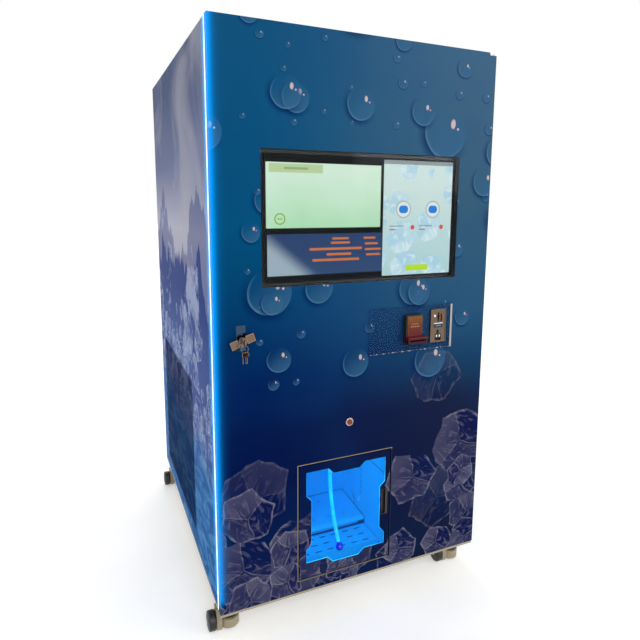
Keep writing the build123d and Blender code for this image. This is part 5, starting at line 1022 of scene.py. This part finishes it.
def makeHatchTrim():
    (left, low), (width, tall) = cutOut["corner"], cutOut["size"]
    places = [(left + across * width, cutOut["front"], low + up * tall) for across, up in cutOut["shares"]]
    obj, spline = addTube("cutOutEdgeLight", "POLY", places, cutOut["wire"], 2)
    spline.use_cyclic_u = True
    activate(obj)
    bpy.ops.object.convert(target="MESH")
    fit(obj, "edge_glow", "hatch", "lit_diffuser")
    line = addBlock("pullHighlight", *pull["line"])
    growBlock(line, *pull["foot"])
    roundEdges(line, pull["round"])
    fit(line, "gold_trim", "hatch", "nickel")


makeHatchTrim()
print("hatch trimmed")


# compartment: seam, screws, painted glints and a drain slot on its right wall
outletWall = {
    "x": 0.112, "seam": ((-0.5835, 0.4750), (-0.4770, 0.4776)), "slot": (-0.338, 0.2505), "slotReach": 0.020,
    "slotTilt": 38.6, "heads": [  # name, count, y, lowest z, step, radius, inset and its depth, finish
        ("wallScrew", 5, -0.399, 0.302, 0.024, 0.0034, 0.0008, -0.0004, "seam_dark"),
        ("wallGlint", 2, -0.385, 0.262, 0.013, 0.0030, 0.0007, 0.0003, "bright_rivet")]}


def makeOutletTrim():
    wall, (y, z), reach = outletWall["x"], outletWall["slot"], outletWall["slotReach"]
    (near, low), (far, high) = outletWall["seam"]
    seam = addTrim("wallSeam", (wall - 0.0006, near, low), (wall - 0.0001, far, high), 0.0002)
    fit(seam, "seam_dark", "cabinet", "satin_steel")
    slot = addRound("drainSlot", (wall - 0.0004, y, z), 0.0022, 0.0006, "X", 16)
    for side in (1, -1):
        pickFaces(slot, lambda face: side * (face.center.z - z) > 0)
        bpy.ops.transform.translate(value=(0, 0, side * reach))
        setMode("OBJECT")
    turnPiece(slot, outletWall["slotTilt"], "X", (wall, y, z))
    roundEdges(slot, 0.0001)
    fit(slot, "seam_dark", "cabinet", "satin_steel")
    for name, count, along, first, step, radius, rim, sink, kind in outletWall["heads"]:
        for i in range(count):
            head = addRound(f"{name}{i}", (wall - 0.0006, along, first + step * i), radius, 0.0012, "X", 14)
            insetFaces(head, facing(x=-1), rim, sink)
            fit(head, kind, "cabinet", "nickel")


makeOutletTrim()
print("compartment trimmed")


# left vent: a sheet with fine round holes in straight rows
vent = {"y": (-0.2075, 0.5325), "z": (0.172, 0.800), "x": -0.515, "thick": 0.0018, "pitch": 0.012, "hole": 0.004,
        "columns": 60, "rows": 51, "lip": 0.0030, "lipThick": 0.0020}


def addHoleCell(middle, pitch, hole):  # a square of sheet with one round hole, its corners drawn out
    selectNone()
    bpy.ops.mesh.primitive_circle_add(vertices=8, radius=hole, location=middle, rotation=(0, math.pi / 2, 0))
    cell = settle("ventSheet")

    def pickVertices(wanted):
        for vertex in cell.data.vertices:
            vertex.select = wanted(vertex.co - Vector(middle))
        setMode("EDIT")

    setMode("EDIT")
    bpy.ops.mesh.select_mode(type="VERT")
    bpy.ops.mesh.select_all(action="SELECT")
    bpy.ops.mesh.extrude_region_move()
    bpy.ops.transform.resize(value=(1, pitch / 2 / hole, pitch / 2 / hole), center_override=middle)
    setMode("OBJECT")
    pickVertices(lambda off: min(abs(off.y), abs(off.z)) > pitch / 4 and max(abs(off.y), abs(off.z)) > 0.34 * pitch)
    bpy.ops.transform.resize(value=(1, math.sqrt(2), math.sqrt(2)), center_override=middle)
    setMode("OBJECT")
    pickVertices(lambda off: off.length < hole * 1.05)
    bpy.ops.mesh.extrude_region_move(TRANSFORM_OT_translate={"value": (vent["thick"], 0, 0)})
    setMode("OBJECT")
    return cell


def makeVentSheet():
    x, (near, far), (low, high), pitch = vent["x"], vent["y"], vent["z"], vent["pitch"]
    columns, rows, thick = vent["columns"], vent["rows"], vent["thick"]
    first = (x, (near + far) / 2 - pitch * (columns - 1) / 2, (low + high) / 2 - pitch * (rows - 1) / 2)
    sheet = addHoleCell(first, pitch, vent["hole"])
    for count, step in ((columns, (0, pitch, 0)), (rows, (0, 0, pitch))):
        applyModifier(sheet, "ARRAY", count=count, use_relative_offset=False, use_constant_offset=True,
                      constant_offset_displace=step)
    spare = ((far - near - columns * pitch) / 2, (high - low - rows * pitch) / 2)
    margin = addBlock("ventMargin", (x, near, low), (x + thick, far, high))
    cutAway(margin, [addBlock("opening", (x - 0.01, near + spare[0], low + spare[1]),
                              (x + 0.01, far - spare[0], high - spare[1]))])
    sheet = joinPieces([sheet, margin], "ventSheet")
    fit(sheet, "vent_print", "cabinet", "vent_print", "left_vent_grille")
    # a dark strip along the vent's top edge paints the shade there
    lip = addTrim("ventTopShade", (x, near, high - vent["lip"]), (x + vent["lipThick"], far, high), 0.0005)
    fit(lip, "lip_brown", "cabinet", "dark_plastic")


makeVentSheet()
print("vent perforated")


# casters: knurled adjusting ring on each drum, hub ring on each wheel
casters = {"front_left": (-0.467, -0.5265, -1), "front_right": (0.467, -0.5265, -1),
           "rear_left": (-0.467, 0.5545, -1), "rear_right": (0.467, 0.5545, 1)}  # pin's place, side of the wheel
adjustRing = {"height": 0.0565, "radius": 0.0288, "depth": 0.019, "sides": 48, "tooth": 0.0012, "round": 0.0003}
hubRing = {"out": 0.0752, "height": 0.034, "radius": 0.022, "bore": 0.0095, "depth": 0.0012, "round": 0.0003}


def makeCasterTrim():
    step = 360 / adjustRing["sides"]
    for place, (x, y, trail) in casters.items():
        ring = addRound(f"{place}AdjustRing", (x, y, adjustRing["height"]), adjustRing["radius"], adjustRing["depth"],
                        "Z", adjustRing["sides"])

        def isTooth(face):  # every other side face
            turn = math.degrees(math.atan2(face.center.y - y, face.center.x - x))
            return abs(face.normal.z) < 0.5 and int(turn // step) % 2

        pickFaces(ring, isTooth)
        bpy.ops.mesh.extrude_faces_move(TRANSFORM_OT_shrink_fatten={"value": adjustRing["tooth"]})
        setMode("OBJECT")
        roundEdges(ring, adjustRing["round"], 1)
        fit(ring, "foot_rubber", f"{place}_swivel", "foot_rubber")
        middle = (x + trail * hubRing["out"], y, hubRing["height"])
        hub = addRound(f"{place}WheelHub", middle, hubRing["radius"], hubRing["depth"], "X", 40)
        cutAway(hub, [addRound("bore", middle, hubRing["bore"], 0.01, "X", 32)])
        roundEdges(hub, hubRing["round"])
        fit(hub, "dark_plastic", f"{place}_wheel", "dark_plastic")


makeCasterTrim()
print("casters trimmed")


# lock handle: raised rims round its two pads
handle = {"centre": (-0.431, 1.045), "front": -0.6365, "pad": 0.027, "offset": 0.0265, "tilt": 20, "rise": 0.0016,
          "width": 0.0032, "round": 0.0006}


def makeHandleTrim():
    (x, z), half, front = handle["centre"], handle["pad"] / 2, handle["front"]
    # the right rim's warmer colour is a painted reflection on the same metal as the left
    for name, side, kind in (("padRimLeft", -1, "nickel"), ("padRimRight", 1, "pad_warm")):
        across = x + side * handle["offset"]
        rim = addFrame(name, (across - half, front - handle["rise"], z - half), (across + half, front, z + half),
                       handle["width"], handle["round"])
        turnPiece(rim, handle["tilt"], "Y", (x, front, z))
        fit(rim, kind, "lock_handle", "nickel")


makeHandleTrim()
print("handle trimmed")


# back panel: pan-head screws along its edges
backScrew = {"columns": (-0.497, 0.497), "heights": (0.150, 0.400, 0.650, 0.900, 1.150, 1.400, 1.650, 1.940),
             "across": (-0.300, -0.100, 0.100, 0.300), "ends": (0.130, 1.985), "y": 0.6423, "radius": 0.0045,
             "depth": 0.0016, "rim": 0.0012}


def makeBackScrews():
    places = [(x, z) for x in backScrew["columns"] for z in backScrew["heights"]]
    places += [(x, z) for x in backScrew["across"] for z in backScrew["ends"]]
    startX, startZ = places[0]
    first = addRound("backScrews", (startX, backScrew["y"], startZ), backScrew["radius"], backScrew["depth"], "Y", 14)
    insetFaces(first, facing(y=1), backScrew["rim"], 0.0004)
    insetFaces(first, lambda face: face.normal.y > 0.9 and face.area > 1e-5, backScrew["rim"], -0.0008)
    screws = [first] + [copyPiece(first, "backScrew", (x - startX, 0, z - startZ)) for x, z in places[1:]]
    fit(joinPieces(screws, "backScrews"), "zinc_steel", "cabinet", "zinc_steel")


makeBackScrews()
print("back screws set")


# floor, world and lamps
stage = {"floor": "#f4f4f3", "floorShade": "#efefee", "size": 60.0, "sky": "#ffffff", "skyLight": 0.38,
         "lift": 0.42, "farLift": 0.8, "aim": (0, 0, 0.9),
         "lamps": [((-0.9, -4.4, 3.0), 85, 2.6), ((2.6, -3.6, 2.6), 55, 2.2), ((-3.6, 0.6, 2.2), 26, 2.4),
                   ((0.5, 3.6, 3.0), 60, 2.4)]}  # place, power, size
seenRays = ("Is Camera Ray", "Is Glossy Ray", "Is Transmission Ray")


def makeFloor():
    selectNone()
    bpy.ops.mesh.primitive_plane_add(size=stage["size"], location=(0, 0, 0))
    floor = bpy.context.active_object
    floor.name = "studioFloor"
    material, shader, place = newMaterial("studioFloor", Roughness=0.6)
    tone = blend(ease(mottle(place, 3.0, 3.0), 0.3, 0.7), stage["floorShade"], stage["floor"])
    away = ease(vec("LENGTH", place), 1.5, 5.0, stage["lift"], stage["farLift"])
    feed(shader, {"Base Color": tone, "Emission Color": tone, "Emission Strength": times(rayMask(*seenRays), away)})
    floor.data.materials.append(material)


def makeWorld():
    world = bpy.data.worlds.new("studio")
    bpy.context.scene.world = world
    world.use_nodes = True
    current["tree"] = world.node_tree
    current["tree"].nodes.clear()
    strength = put("Mix", {0: rayMask(*seenRays), 2: stage["skyLight"], 3: 1.0}, data_type="FLOAT").outputs[0]
    back = put("Background", {0: paint(stage["sky"]), 1: strength})
    put("OutputWorld", {0: back.outputs[0]})


def makeLamps():
    for i, (place, power, size) in enumerate(stage["lamps"]):
        data = bpy.data.lights.new(f"softBox{i}", "AREA")
        data.energy = power
        data.size = size
        obj = addObject(f"softBox{i}", data)
        obj.location = place
        obj.rotation_euler = (Vector(stage["aim"]) - Vector(place)).to_track_quat("-Z", "Y").to_euler()


makeFloor()
makeWorld()
makeLamps()
print("stage set")
